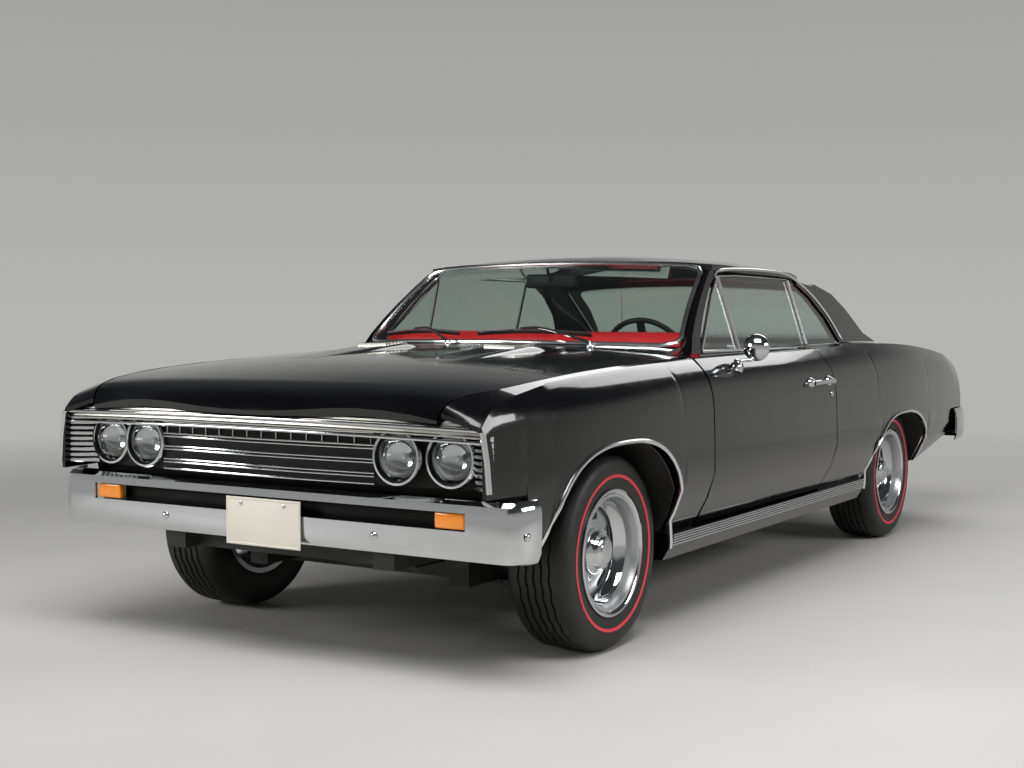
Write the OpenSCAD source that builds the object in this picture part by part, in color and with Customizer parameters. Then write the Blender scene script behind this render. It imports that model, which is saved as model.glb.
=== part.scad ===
// Two-door hardtop coupe with a front engine and a separate perimeter frame.
// Millimetres. +X is the car's left, -Y is forward, +Z is up. The origin is
// on the ground under the middle of the car's outer box.

/* [Running gear] */
// Distance between the front and the rear axle
wheelbase = 2921; // [2440:1:3500]
// Distance between the middles of the two tyres of an axle
track = 1496; // [1420:1:1560]
// Front axle to the foremost point of the nose
front_overhang = 828; // [800:1:900]
// Rear axle to the rearmost point of the bumper
rear_overhang = 1255; // [1200:1:1500]
// Tyre diameter
tyre_d = 652; // [600:1:700]
// Tyre width over the sidewalls
tyre_w = 232; // [195:1:245]
// Diameter of the rim where the beads sit
rim_d = 384; // [360:1:400]
// Radius of the wheel spindles
spindle_r = 22; // [16:1:27]
// Distance of the steering axis inboard of the tyre's middle plane
kingpin_offset = 58; // [50:1:62]

/* [Body] */
// Body width over the doors and quarter panels
body_w = 1904; // [1880:1:2300]
// Height of the belt line at the doors
belt_h = 950; // [940:1:990]
// Height of the roof at its crown
roof_h = 1358; // [1300:1:1480]
// Height of the top of the rocker panels
rocker_h = 340; // [325:1:350]
// Gap around the hood, the doors and the trunk lid
panel_gap = 8; // [6:1:10]
// Thickness of fenders and quarter panels
skin_t = 14; // [10:1:18]
// Thickness of the hood and the trunk lid
lid_t = 24; // [18:1:30]
// Thickness of the roof with its lining
roof_t = 24; // [20:1:34]
// Thickness of the window glass
glass_t = 6; // [4:1:8]

/* [Cabin] */
// Diameter of the steering wheel
steering_wheel_d = 400; // [340:1:420]
// Width of one front seat
seat_w = 520; // [440:1:560]
// Height of the floor above the ground
floor_h = 292; // [280:1:300]

/* [Hidden] */
$fn = 48;

black = [0.02, 0.02, 0.02];
chrome = [0.78, 0.79, 0.8];
iron = [0.12, 0.12, 0.13];
red = [0.6, 0.04, 0.05];
rubber = [0.06, 0.06, 0.06];
glass = [0.55, 0.66, 0.64, 0.4];

// ---- places along the car, each tied to the axle or the end that it belongs to
body_length = front_overhang + wheelbase + rear_overhang;
front_y = -body_length / 2;
tail_y = body_length / 2;
front_axle_y = front_y + front_overhang;
rear_axle_y = front_axle_y + wheelbase;
tyre_r = tyre_d / 2;
axle_z = tyre_r;
wheel_x = track / 2;
half_w = body_w / 2;
header_y = front_y + 4;
fender_y = front_y + 50;
door_y = front_axle_y + 625;
lock_y = rear_axle_y - 1020;
hood_rear_y = door_y - 20;
glass_base_y = front_axle_y + 780;
glass_top_y = front_axle_y + 1164;
roof_rear_y = rear_axle_y - 647;
window_base_y = rear_axle_y - 92;
sail_end_y = rear_axle_y + 15;
lid_y = rear_axle_y - 10;
quarter_end_y = tail_y - 112;
crest_x = half_w - 102;

// ---- small helpers
function mix(a, b, t) = a + (b - a) * t;
function clamp(v, lo, hi) = min(max(v, lo), hi);
function slope(p, i) =
    let (a = max(i - 1, 0), b = min(i + 1, len(p) - 1))
    (p[b][1] - p[a][1]) / (p[b][0] - p[a][0]);
function span(p, u, i = 0) = i >= len(p) - 2 || u < p[i + 1][0] ? i : span(p, u, i + 1);
// Smooth curve through the points p, read at u and held at its ends
function curve(p, u) =
    let (i = span(p, u), w = p[i + 1][0] - p[i][0], t = clamp((u - p[i][0]) / w, 0, 1))
    p[i][1] * (2 * t * t * t - 3 * t * t + 1) + slope(p, i) * w * (t * t * t - 2 * t * t + t)
    + p[i + 1][1] * (3 * t * t - 2 * t * t * t) + slope(p, i + 1) * w * (t * t * t - t * t);
function steps(a, b, n) = [for (i = [0:n]) mix(a, b, i / n)];

// Closed solid between two grids of points. The outer side faces along rows x columns.
module sheet(outer, inner, skip = function (i, j) false) {
    rows = len(outer);
    cols = len(outer[0]);
    back = rows * cols;
    at = function (i, j) i * cols + j;
    open = function (i, j) i < 0 || j < 0 || i > rows - 2 || j > cols - 2 || skip(i, j);
    quad = function (a, b, c, d) [[a, b, c], [a, c, d]];
    faces = [
        for (i = [0:rows - 2]) for (j = [0:cols - 2]) if (!open(i, j))
            let (a = at(i, j), b = at(i, j + 1), c = at(i + 1, j + 1), d = at(i + 1, j))
            each concat(
                quad(a, b, c, d), quad(a + back, d + back, c + back, b + back),
                open(i - 1, j) ? quad(b, a, a + back, b + back) : [],
                open(i + 1, j) ? quad(d, c, c + back, d + back) : [],
                open(i, j - 1) ? quad(a, d, d + back, a + back) : [],
                open(i, j + 1) ? quad(c, b, b + back, c + back) : [])
    ];
    polyhedron(concat([for (r = outer) each r], [for (r = inner) each r]), faces);
}

module mirrored() {
    children();
    mirror([1, 0, 0]) children();
}

module box(lo, hi) {
    translate(lo) cube(hi - lo);
}

// Bar along X from x0 to x1 with the side outline given as [y, z] points
module across(x0, x1, outline) {
    translate([x0, 0, 0]) rotate([90, 0, 90]) linear_extrude(x1 - x0) polygon(outline);
}

// Bar along Y from y0 to y1 with the front outline given as [x, z] points
module along(y0, y1, outline) {
    translate([0, y1, 0]) rotate([90, 0, 0]) linear_extrude(y1 - y0) polygon(outline);
}

module rod(a, b, r) {
    v = b - a;
    translate(a)
        rotate([0, acos(v[2] / norm(v)), atan2(v[1], v[0])])
            cylinder(h = norm(v), r = r);
}

// ---- the body's outer form
// Half width of the body side where it is widest
function side_w(y) = half_w - curve([
    [fender_y, 86], [front_axle_y - 330, 26], [front_axle_y + 50, 8], [door_y, 10],
    [lock_y, 4], [rear_axle_y - 450, 0], [rear_axle_y + 60, 0], [rear_axle_y + 560, 18],
    [quarter_end_y, 56]], y);
// Height of the edge where the side turns into the top
function crest_z(y) = belt_h + curve([
    [fender_y, -163], [fender_y + 40, -124], [fender_y + 110, -97], [fender_y + 200, -75],
    [fender_y + 400, -49], [front_axle_y - 83, -32], [front_axle_y + 190, -18],
    [door_y - 120, -8], [door_y + 60, -5], [lock_y - 520, -1], [lock_y - 80, 3],
    [rear_axle_y - 595, 13], [rear_axle_y - 96, 11], [rear_axle_y + 377, -10],
    [rear_axle_y + 866, -57], [quarter_end_y - 50, -105], [quarter_end_y, -152]], y);
// Height of the crease low on the side
function crease_z(y) = curve([[front_axle_y + 300, 562], [door_y, 555], [lock_y, 492],
    [rear_axle_y - 400, 480]], y);
// How far the side lies inboard of its widest line at height z
function side_inset(y, z) =
    let (t = (z - crease_z(y)) / (crest_z(y) - crease_z(y)), room = side_w(y) - crest_x)
    z > crease_z(y)
    ? room * curve([[0, 0], [0.35, 0.03], [0.6, 0.08], [0.75, 0.2], [0.88, 0.48], [1, 1]], t)
    : (crease_z(y) - z) * 0.05;
function tuck(z) = curve([[300, 98], [386, 56], [442, 28], [490, 5], [525, 0]], z);
function side_x(y, z) = side_w(y) - side_inset(y, z) - tuck(z);

// Wheel opening: height of the lip at y, or floor where the body runs to its bottom edge
function arch(y, axle_y, rise, floor) =
    let (s = abs(y - axle_y + 50) / arch_a)
    s >= 1 ? floor : max(floor, axle_z - 4 + rise * pow(1 - pow(s, 2.6), 1 / 2.6));
front_rise = tyre_r + 44;
rear_rise = tyre_r - 24;
arch_a = tyre_r + 95;
front_arch = [front_axle_y - 50 - arch_a, front_axle_y - 50 + arch_a];
rear_arch = [rear_axle_y - 50 - arch_a, rear_axle_y - 50 + arch_a];
// Stations across a wheel opening, closer together at its ends
function arch_steps(a, n) = [for (i = [0:n]) mix(a[0], a[1], (1 - cos(180 * i / n)) / 2)];

// ---- hood, roof and deck
function hood_edge_x(y) = curve([[header_y + 38, 700], [fender_y + 38, 722],
    [fender_y + 188, 786], [fender_y + 400, crest_x - 38], [hood_rear_y, crest_x - 38]], y);
function hood_mid_z(y) = belt_h + curve([[header_y, -138], [header_y + 14, -104],
    [header_y + 45, -80], [header_y + 110, -60], [header_y + 300, -31],
    [header_y + 530, -1], [front_axle_y + 70, 22], [hood_rear_y - 90, 40]], y);
function hood_edge_z(y) = belt_h + curve([[header_y + 38, -147], [header_y + 50, -118],
    [header_y + 90, -86], [header_y + 250, -60], [header_y + 415, -43],
    [front_axle_y - 160, -26], [front_axle_y + 49, -17], [front_axle_y + 376, -5],
    [hood_rear_y, 2]], y);
function hood_z(x, y) =
    mix(hood_mid_z(y), hood_edge_z(y), pow(abs(x) / hood_edge_x(y), 2.2));
function hood_rear_at(x) = hood_rear_y - 90 * (1 - pow(abs(x) / (crest_x - 38), 2));

function pillar_x(z) = half_w - 187 - 0.292 * (z - belt_h);
function roof_mid_z(y) = roof_h + curve([[glass_top_y - 80, -44], [glass_top_y - 10, -25],
    [glass_top_y + 190, -7], [mix(glass_top_y, roof_rear_y, 0.46), 0],
    [roof_rear_y - 280, -9], [roof_rear_y - 100, -36], [roof_rear_y, -60]], y);
function roof_drop(y) = curve([[glass_top_y - 30, 28], [glass_top_y + 325, 57],
    [roof_rear_y - 120, 62]], y);
roof_edge_x = half_w - 268;
function roof_z(x, y) = roof_mid_z(y) - roof_drop(y) * pow(abs(x) / roof_edge_x, 2.3);
function deck_z(x, y) = crest_z(y) + 6 + 12 * (1 - pow(min(abs(x) / crest_x, 1), 2));
lid_x = 640;

// Windshield: w runs from -1 to 1 across, h from 0 at the base to 1 at the top
shield_base_x = half_w - 226;
shield_top_x = half_w - 304;
function shield(w, h) =
    let (base = [w * shield_base_x, glass_base_y - 142 * (1 - pow(abs(w), 2.4)),
                 belt_h + 43 - 10 * w * w],
         top = [w * shield_top_x, glass_top_y - 70 * (1 - w * w), roof_h - 40 - 20 * w * w])
    mix(base, top, h) + [0, -26 * sin(180 * h), 0];
// Rear window: the same way, from the deck up to the rear edge of the roof
function back_glass(w, h) =
    let (y = window_base_y - 60 * w * w, x = w * (sail_in(belt_h + 40) - 1),
         base = [x, y, deck_z(x, y) + 1],
         top = [w * (sail_in(roof_h - 118) - 1), roof_rear_y + glass_t + 1,
                roof_mid_z(roof_rear_y) - roof_t - 34 * w * w])
    mix(base, top, h);
// Inner face of the roof's rear pillars
function sail_in(z) = pillar_x(z) - 36;

// ---- body panels
function side_rows(lo, hi) = [for (k = [0:9]) mix(lo, hi, k / 9 * (1.55 - 0.55 * k / 9))];
// Points of a side panel at station y: up from its low edge to the crest, then in to top_x
function side_column(y, low, top_x, top_z) =
    concat([for (z = side_rows(low, crest_z(y))) [side_x(y, z), y, z]],
           [for (k = [1:3]) [mix(crest_x, top_x, k / 3), y, mix(crest_z(y), top_z, k / 3)]]);
// The panel's inner side, depth(y, z) inboard of the outer one
function inner_column(y, low, top_x, top_z, depth) =
    let (z1 = crest_z(y) - skin_t, x1 = side_x(y, z1) - depth(y, z1))
    concat([for (z = side_rows(low, z1)) [side_x(y, z) - depth(y, z), y, z]],
           [for (k = [1:3]) [mix(min(x1, crest_x - 4), top_x, k / 3) + (k < 3 ? 3 : 0), y,
                          mix(z1, top_z - skin_t, k / 3)]]);

module fender() {
    rear = door_y - panel_gap / 2;
    ys = concat([for (d = [0, 8, 20, 40, 80, 140, 180, 188]) fender_y + d], arch_steps(front_arch, 18),
                steps(front_arch[1] + 30, rear, 4));
    low = function (y) arch(y, front_axle_y, front_rise,
                            y < fender_y + 184 ? 582 : y < front_axle_y ? 385 : rocker_h + 0.5);
    edge = function (y) hood_edge_x(y) + panel_gap;
    depth = function (y, z) skin_t;
    sheet([for (y = ys) side_column(y, low(y), edge(y), hood_edge_z(y))],
          [for (y = ys) inner_column(y, low(y), edge(y), hood_edge_z(y), depth)]);
}

module fenders() { color(black) mirrored() fender(); }

// Plane of the inner trim on the doors and beside the rear seat
trim_x = half_w - 204;
// The end faces of a door lean so that its inner edges clear as it swings
function lean(x, y) = (side_w(y) - x) * 0.16;

module quarter_panel() {
    front = lock_y + panel_gap / 2;
    ys = concat(steps(front, rear_arch[0] - 14, 4), arch_steps(rear_arch, 18),
                steps(rear_arch[1] + 40, quarter_end_y - 40, 4), [quarter_end_y - 12, quarter_end_y]);
    low = function (y) arch(y, rear_axle_y, rear_rise,
        y < rear_axle_y ? rocker_h + 0.5
                        : curve([[rear_arch[1], 350], [quarter_end_y - 100, 500]], y));
    top_x = function (y) mix(trim_x, lid_x + panel_gap, clamp((y - sail_end_y + 460) / 140, 0, 1));
    // As deep as the trim beside the seat, then a single skin behind it
    depth = function (y, z)
        mix(side_x(y, z) - trim_x, skin_t, clamp((y - rear_arch[0] + 120) / 90, 0, 1));
    slant = function (p, k) [p[0], p[1] - (k ? lean(p[0], p[1]) : 0), p[2]];
    sheet([for (y = ys) [for (p = side_column(y, low(y), top_x(y), deck_z(top_x(y), y)))
              slant(p, y == front)]],
          [for (y = ys) [for (p = inner_column(y, low(y), top_x(y), deck_z(top_x(y), y), depth))
              slant(p, y == front)]]);
}

module quarter_panels() { color(black) mirrored() quarter_panel(); }

// Hinge line of a door, and the height of the pocket that its strap hinge sits in
hinge = [half_w - 30, door_y + 94];
pocket = [570, 690];

// Door: front and rear faces lean inwards, the top is flat from the crest to the trim
module door() {
    front = door_y + panel_gap / 2;
    rear = lock_y - panel_gap / 2;
    low = rocker_h + panel_gap;
    ys = steps(front, rear, 12);
    in_y = function (x, y) y + (y == front ? lean(x, y) : y == rear ? -lean(x, y) : 0);
    outer = [for (y = ys) [for (p = side_column(y, low, trim_x, crest_z(y) + 4))
                              [p[0], in_y(p[0], y), p[2]]]];
    inner = [for (y = ys) concat(
                [for (z = side_rows(low, crest_z(y) - skin_t)) [trim_x, in_y(trim_x, y), z]],
                [for (k = [1:3]) [trim_x + (k < 3 ? 3 : 0), in_y(trim_x, y), crest_z(y) - skin_t * (1 - k / 4)]])];
    difference() {
        sheet(outer, inner);
        box([trim_x - 20, door_y - 10, pocket[0]], [hinge[0] + 8, hinge[1] + 75, pocket[1]]);
        translate([hinge[0], hinge[1], pocket[0] - 10.5])
            cylinder(h = pocket[1] - pocket[0] + 21, r = 6.05);
    }
}

module door_left() { color(black) door(); }
module door_right() { color(black) mirror([1, 0, 0]) door(); }

// Side glass outline on the leaning window plane, given as [y, z] points
module side_glass(outline) {
    n = len(outline);
    side = function (s) [for (p = outline) [pillar_x(p[1]) + s, p[0], p[1]]];
    polyhedron(concat(side(0), side(-glass_t)),
        [for (i = [1:n - 2]) each [[0, i + 1, i], [n, n + i, n + i + 1]],
         for (i = [0:n - 1]) let (j = (i + 1) % n) each [[i, j, j + n], [i, j + n, i + n]]]);
}

glass_h = roof_h - 95.5;
split_y = lock_y + 74;
module door_glass() {
    top = function (y) deck_z(trim_x, y) + 6;
    side_glass([[glass_base_y + 92, crest_z(glass_base_y + 92) + 4.4],
                [lock_y - 42, crest_z(lock_y) + 4.4], [lock_y - 34, top(lock_y)], [split_y + 26, top(split_y + 26)],
                [split_y, glass_h - 2], [glass_top_y + 250, glass_h + 3],
                [glass_top_y + 58, glass_h - 6]]);
}

module door_glass_left() { color(glass) door_glass(); }
module door_glass_right() { color(glass) mirror([1, 0, 0]) door_glass(); }

// Windows bent in both directions, as thick as the glass
module window(at, back) {
    sheet([for (h = steps(0, 1, 5)) [for (w = steps(-1, 1, 12)) at(w, h)]],
          [for (h = steps(0, 1, 5)) [for (w = steps(-1, 1, 12)) at(w, h) + back]]);
}

module windshield() {
    color(glass) mirror([1, 0, 0])
        window(function (w, h) shield(w, h), [0, glass_t, 0]);
}

module back_window() {
    color(glass) window(function (w, h) back_glass(w, h), [0, -glass_t, 0]);
}

module side_windows() {
    z0 = function (y) deck_z(pillar_x(belt_h), y) + 2;
    color(glass) mirrored()
        side_glass([[split_y + 26 + panel_gap, z0(split_y + 34)], [roof_rear_y + 136, z0(roof_rear_y + 136)],
                    [roof_rear_y + 43, roof_h - 264], [roof_rear_y - 90, roof_h - 175],
                    [roof_rear_y - 212, roof_h - 119], [split_y + panel_gap, glass_h - 4]]);
}

module rear_windows() {
    back_window();
    side_windows();
}

// ---- hood, lid, roof and the panels around the cabin
// Panel seen from above: z(x, y) on top, half as wide as edge(y), t thick
module top_panel(ys, edge, z, t, front = function (x) 0) {
    grid = function (drop) [for (y = ys) [for (w = steps(1, -1, 14))
        let (x = w * edge(y), yy = y + front(x) * (1 - (y - ys[0]) / (ys[len(ys) - 1] - ys[0])))
        [x, yy, z(x, yy) - drop]]];
    sheet(grid(0), grid(t));
}

hood_pin = [hood_rear_y + 4, belt_h - 4];
module hood() {
    rows = [0, 0.01, 0.03, 0.07, 0.13, 0.22, 0.34, 0.48, 0.62, 0.76, 0.9, 1];
    grid = function (drop) [for (v = rows) [for (w = steps(1, -1, 16))
        let (y0 = header_y + 38 * w * w, x0 = w * hood_edge_x(mix(header_y + 38, hood_rear_y, v)),
             y = mix(y0, hood_rear_at(x0), v))
        [x0, y + drop * (max(0, 0.4 - 6 * v) - max(0, 0.4 - 6 * (1 - v))), hood_z(x0, y) - drop]]];
    color(black) difference() {
        union() {
            sheet(grid(0), grid(lid_t));
            mirrored() box([744, hood_rear_y - 24, hood_pin[1] - 8], [772, hood_rear_y + 12, hood_pin[1] + 8]);
        }
        translate([-800, hood_pin[0], hood_pin[1]]) rotate([0, 90, 0]) cylinder(h = 1600, r = 5.05);
    }
}

lid_pin = [lid_y - panel_gap - 7, deck_z(580, lid_y) - 7];
module trunk_lid() {
    ys = concat(steps(lid_y, quarter_end_y - 60, 7), [for (d = [30, 10, 0]) quarter_end_y - d]);
    color(black) difference() {
        union() {
            top_panel(ys, function (y) lid_x, function (x, y) deck_z(x, y), lid_t);
            mirrored() {
                box([560, lid_pin[0], lid_pin[1] - 6], [600, lid_y + 8, lid_pin[1] + 5]);
                translate([560, lid_pin[0], lid_pin[1]]) rotate([0, 90, 0]) cylinder(h = 40, r = 6);
            }
        }
        translate([-660, lid_pin[0], lid_pin[1]]) rotate([0, 90, 0]) cylinder(h = 1320, r = 3.05);
    }
}

module rear_deck() {
    color(black) {
        difference() {
            top_panel(steps(rear_axle_y - 300, lid_y - panel_gap, 3),
                function (y) lid_x + panel_gap - 0.5, function (x, y) deck_z(x, y), skin_t);
            mirrored() box([555, lid_pin[0] - 12, 0], [605, lid_y, roof_h]);
        }
        mirrored() translate([550, lid_pin[0], lid_pin[1]]) rotate([0, 90, 0]) cylinder(h = 60, r = 3);
    }
}

function roof_half(y) = curve([[glass_top_y, roof_edge_x - 8], [glass_top_y + 200, roof_edge_x],
    [roof_rear_y - 200, roof_edge_x], [roof_rear_y, roof_edge_x - 74]], y);
module roof_panel() {
    front = function (w) glass_top_y - 70 * (1 - pow(w * roof_edge_x / shield_top_x, 2)) + glass_t + 1;
    grid = function (drop) [for (v = steps(0, 1, 12)) [for (w = steps(1, -1, 14))
        let (y = mix(front(w), roof_rear_y, v), x = w * roof_half(y))
        [x, y, roof_z(x, y) - drop]]];
    color(black) sheet(grid(0), grid(roof_t));
}

// Front pillars beside the windshield and rear pillars beside the rear window
module front_pillar() {
    top = roof_z(roof_edge_x, glass_top_y + 20) - roof_t - 1;
    part = function (z) clamp((z - belt_h - 25) / (roof_h - 91 - belt_h), 0, 1);
    edge_y = function (z) mix(glass_base_y, glass_top_y, part(z)) - 26 * sin(180 * part(z));
    zs = steps(belt_h + 8, top, 5);
    out = function (z) pillar_x(z) + 12;
    in = function (z) mix(shield_base_x, shield_top_x, part(z)) + 2;
    wide = function (z) mix(76, 48, part(z));
    sheet([for (z = zs) [[out(z), edge_y(z) + wide(z), z], [out(z), edge_y(z), z]]],
          [for (z = zs) [[in(z), edge_y(z) + wide(z), z], [in(z), edge_y(z), z]]]);
}

module rear_pillar() {
    base = function (y) deck_z(pillar_x(belt_h), y) + 1.4;
    under = function (y) roof_z(roof_half(y), y) - roof_t - 1;
    low = [[roof_rear_y - 204, roof_h - 121], [roof_rear_y - 82, roof_h - 175],
           [roof_rear_y + 51, roof_h - 264], [roof_rear_y + 144, belt_h + 44],
           [roof_rear_y + 160, base(roof_rear_y + 160)], [roof_rear_y + 331, base(roof_rear_y + 331)],
           [sail_end_y - 140, base(sail_end_y - 140)], [sail_end_y - 4, base(sail_end_y - 4)]];
    high = [[roof_rear_y - 190, under(roof_rear_y - 190)], [roof_rear_y - 110, under(roof_rear_y - 110)],
            [roof_rear_y - 30, under(roof_rear_y - 30)], [roof_rear_y + 23, roof_h - 117],
            [sail_end_y - 440, roof_h - 160], [sail_end_y - 300, roof_h - 232],
            [sail_end_y - 140, belt_h + 62], [sail_end_y, base(sail_end_y) + 3]];
    grid = function (d) [for (i = [0:7]) [for (t = steps(0, 1, 3))
        let (p = mix(low[i], high[i], t)) [pillar_x(p[1]) + 8 - d, p[0], p[1]]]];
    sheet(grid(0), grid(44));
}

module roof_pillars() {
    color(black) mirrored() {
        front_pillar();
        rear_pillar();
    }
}

module cowl_panel() {
    ws = steps(1, -1, 12);
    grid = function (drop) [for (v = steps(0, 1, 3)) [for (w = ws)
        let (b = shield(w, 0), f = hood_rear_at(b[0]) + panel_gap)
        mix([b[0], f, hood_z(b[0], f) - 4 - drop], [b[0], b[1] - 0.8, b[2] - drop], v)]];
    color(black) sheet(grid(0), grid(skin_t));
}

fire_y = door_y;
fire_x = shield_base_x - 6;
module firewall() {
    top = [for (w = steps(-1, 1, 12))
        [w * fire_x, hood_z(w * fire_x, hood_rear_at(w * fire_x)) - 4 - skin_t - 10]];
    color(iron) difference() {
        along(fire_y, fire_y + 6, concat([[rail_x + 9, rocker_h + 1], [rail_x + 9, floor_h + 7],
            [-rail_x - 9, floor_h + 7], [-rail_x - 9, rocker_h + 1], [-fire_x, rocker_h + 1]], top,
            [[fire_x, rocker_h + 1]]));
        translate([-tunnel_w - 1, fire_y - 1, 0]) cube([2 * tunnel_w + 2, 8, floor_h + tunnel_h + 1]);
    }
}

// Pillars inside the kick panels with the fixed halves of the door and hood hinges
module hinge_pillars() {
    color(iron) mirrored() {
        box([rail_x + 14, fire_y + 6.6, rocker_h + 0.6], [half_w - 219, hinge[1] + 30, belt_h - 50]);
        box([half_w - 224, hood_rear_y - 4, belt_h - 70], [half_w - 219, hinge[1] + 140, belt_h + 7.4]);
        box([rail_x + 20, hinge[1] - 8, pocket[0] + 20], [hinge[0], hinge[1] + 8, pocket[1] - 20]);
        translate([hinge[0], hinge[1], pocket[0] - 10])
            cylinder(h = pocket[1] - pocket[0] + 20, r = 6);
        translate([half_w - 222, hood_pin[0], hood_pin[1]]) rotate([0, 90, 0]) cylinder(h = 50, r = 5);
    }
}

// ---- floor, frame and running gear
tunnel_w = 134;
tunnel_h = 134;
seat_y = lock_y + 490;
shelf_z = axle_z + 148;
trunk_z = 380;
rail_x = 690;
front_rail_x = 470;
rear_rail_x = 560;
frame_t = 80;
frame_top = floor_h - 0.5;
frame_low = 200;
module floor_pan() {
    w = rail_x + 9.5;
    house_x = wheel_x - tyre_w / 2 - 20;
    color(iron) {
        difference() {
            union() {
                along(fire_y + 6.5, seat_y, [[-w, floor_h], [w, floor_h], [w, floor_h + 6], [-w, floor_h + 6]]);
                along(fire_y + 6.5, seat_y, [[-tunnel_w, floor_h], [-tunnel_w + 30, floor_h + tunnel_h],
                    [tunnel_w - 30, floor_h + tunnel_h], [tunnel_w, floor_h]]);
                box([-house_x + 5.6, seat_y - 6, floor_h], [house_x - 5.6, seat_y, shelf_z]);
                box([-house_x + 5.6, seat_y - 6, shelf_z - 6], [house_x - 5.6, rear_arch[1], shelf_z]);
                box([-house_x + 5.6, rear_arch[1] - 6, trunk_z], [house_x - 5.6, rear_arch[1], shelf_z]);
                box([-house_x + 5.6, rear_arch[1] - 6, trunk_z], [house_x - 5.6, quarter_end_y - 34, trunk_z + 6]);
            }
            along(fire_y, seat_y + 1, [[-tunnel_w + 6, floor_h - 1], [-tunnel_w + 36, floor_h + tunnel_h - 6],
                [tunnel_w - 36, floor_h + tunnel_h - 6], [tunnel_w - 6, floor_h - 1]]);
        }
    }
}

tower_z = 440;
horn_z = 330; // underside of the rails ahead of the wheels
module chassis_frame() {
    bumper_in = nose_bar_y + 12.1;
    kick = axle_z + 74;
    color(iron) {
        mirrored() {
            box([front_rail_x - frame_t, front_axle_y - 270, 215], [front_rail_x, front_arch[1] + 2, frame_top]);
            box([front_rail_x - frame_t, front_axle_y - 270, 215], [front_rail_x, front_axle_y - 190, horn_z + 56]);
            box([front_rail_x - frame_t, bumper_in + 38, horn_z], [front_rail_x, front_axle_y - 190, horn_z + 56]);
            box([front_rail_x - frame_t, bumper_in + 38, horn_z], [front_rail_x, bumper_in + 68, 470]);
            box([front_rail_x - frame_t, bumper_in, 436], [front_rail_x, bumper_in + 68, 470]);
            box([rear_rail_x - 70, tail_y - 76, 300], [rear_rail_x, tail_y - 46, 488]);
            box([rear_rail_x - 70, tail_y - 76, 462], [rear_rail_x, tail_y - 12.8, 488]);
            box([front_rail_x - frame_t, front_arch[1] + 2, frame_low], [rail_x, front_arch[1] + 60, frame_top]);
            box([rail_x - frame_t, front_arch[1] + 60, frame_low], [rail_x, seat_y - 61, frame_top]);
            box([rear_rail_x - 70, seat_y - 61, frame_low], [rail_x, seat_y + 19, frame_top]);
            box([rear_rail_x - 70, seat_y + 1, frame_low], [rear_rail_x, seat_y + 81, kick + 55]);
            box([rear_rail_x - 70, seat_y + 1, kick], [rear_rail_x, rear_arch[1] - 7, kick + 55]);
            box([rear_rail_x - 70, rear_arch[1] - 87, 300], [rear_rail_x, rear_arch[1] - 7, kick + 55]);
            box([rear_rail_x - 70, rear_arch[1] - 87, 300], [rear_rail_x, tail_y - 46, trunk_z - 8]);
            box([front_rail_x - 70, front_axle_y - 90, 215], [front_rail_x - 10, front_axle_y + 90, tower_z]);
        }
        box([-front_rail_x, front_axle_y - 76, frame_low], [front_rail_x, front_axle_y + 74, 260]);
        box([-front_rail_x, front_y + 212, horn_z], [front_rail_x, front_y + 261, horn_z + 56]);
        box([-rail_x, door_y + 640, frame_low], [rail_x, door_y + 720, 248]);
        box([-rear_rail_x, rear_arch[1] - 87, 300], [rear_rail_x, rear_arch[1] - 7, trunk_z - 8]);
    }
}

module rocker_panels() {
    x = side_w(door_y) - 60;
    color(black) mirrored()
        along(front_arch[1] + 8, rear_arch[0] - 8, [[rail_x + 10, 246], [x - 30, 246], [x, 296],
            [x + 4, rocker_h], [rail_x + 10, rocker_h]]);
}

// Inner fender over a wheel: a wall inboard of it and a roof out to the skin
module wheelhouse(axle_y, span_y, rise, in_x, wall_z) {
    ts = steps(4, 176, 14);
    arc = function (t, d) [axle_y - 50 - (arch_a + d) * cos(t), axle_z - 4 + (rise + 16 + d) * sin(t)];
    side = function (d) [for (t = ts) let (p = arc(t, d), q = arc(t, 0))
        [[in_x - d, q[0], min(wall_z, p[1] - 12)], [in_x - d, p[0], p[1]],
         [side_x(p[0], p[1]) - skin_t - 0.7, p[0], p[1]]]];
    sheet(side(0), side(5));
}

module wheelhouses() {
    color(iron) mirrored() {
        wheelhouse(front_axle_y, front_arch, front_rise, wheel_x - tyre_w / 2 - 134, 482);
        wheelhouse(rear_axle_y, rear_arch, tyre_r + 10, wheel_x - tyre_w / 2 - 20, shelf_z + 8);
    }
}

// ---- ends of the body
nose_bar_y = front_y + 98;
lamp_z = tyre_r + 358;
function grille_y(x) = front_y + 90 + 42 * pow(x / 700, 2);

// Bumper: a shell straight across the car, its ends wrapped round the corners.
// face and back list [depth, height] points of the section from its low edge up.
module bumper(half, corner, wrap, face, back, slot_x, plate_x = 0, plate_z = 0) {
    bend = steps(0, 90, 6);
    mid = [for (x = [-1, -0.6, -0.2, 0.2, 0.6, 1]) x * slot_x];
    place = concat([for (a = bend) [corner - half, a - 90]], [for (x = mid) [x, 0]],
                   [for (a = bend) [half - corner, a]]);
    deep = function (p, q) q[0] < 12 ? q[0] : 12 + (q[0] - 12) * mix(1, 0.19, abs(sin(p[1])));
    grid = function (section) [for (p = place) [for (q = section)
        [p[0] + (corner - deep(p, q)) * sin(p[1]), wrap * (1 - cos(p[1])) + deep(p, q) * cos(p[1]), q[1]]]];
    difference() {
        sheet(grid(face), grid(back), function (i, j) j == 3 && i >= len(bend) && i < len(bend) + 5);
        if (plate_z > 0) for (x = [-plate_x, plate_x])
            translate([x, -10, plate_z]) rotate([-90, 0, 0]) cylinder(h = 40, r = 3.5);
    }
}

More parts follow.
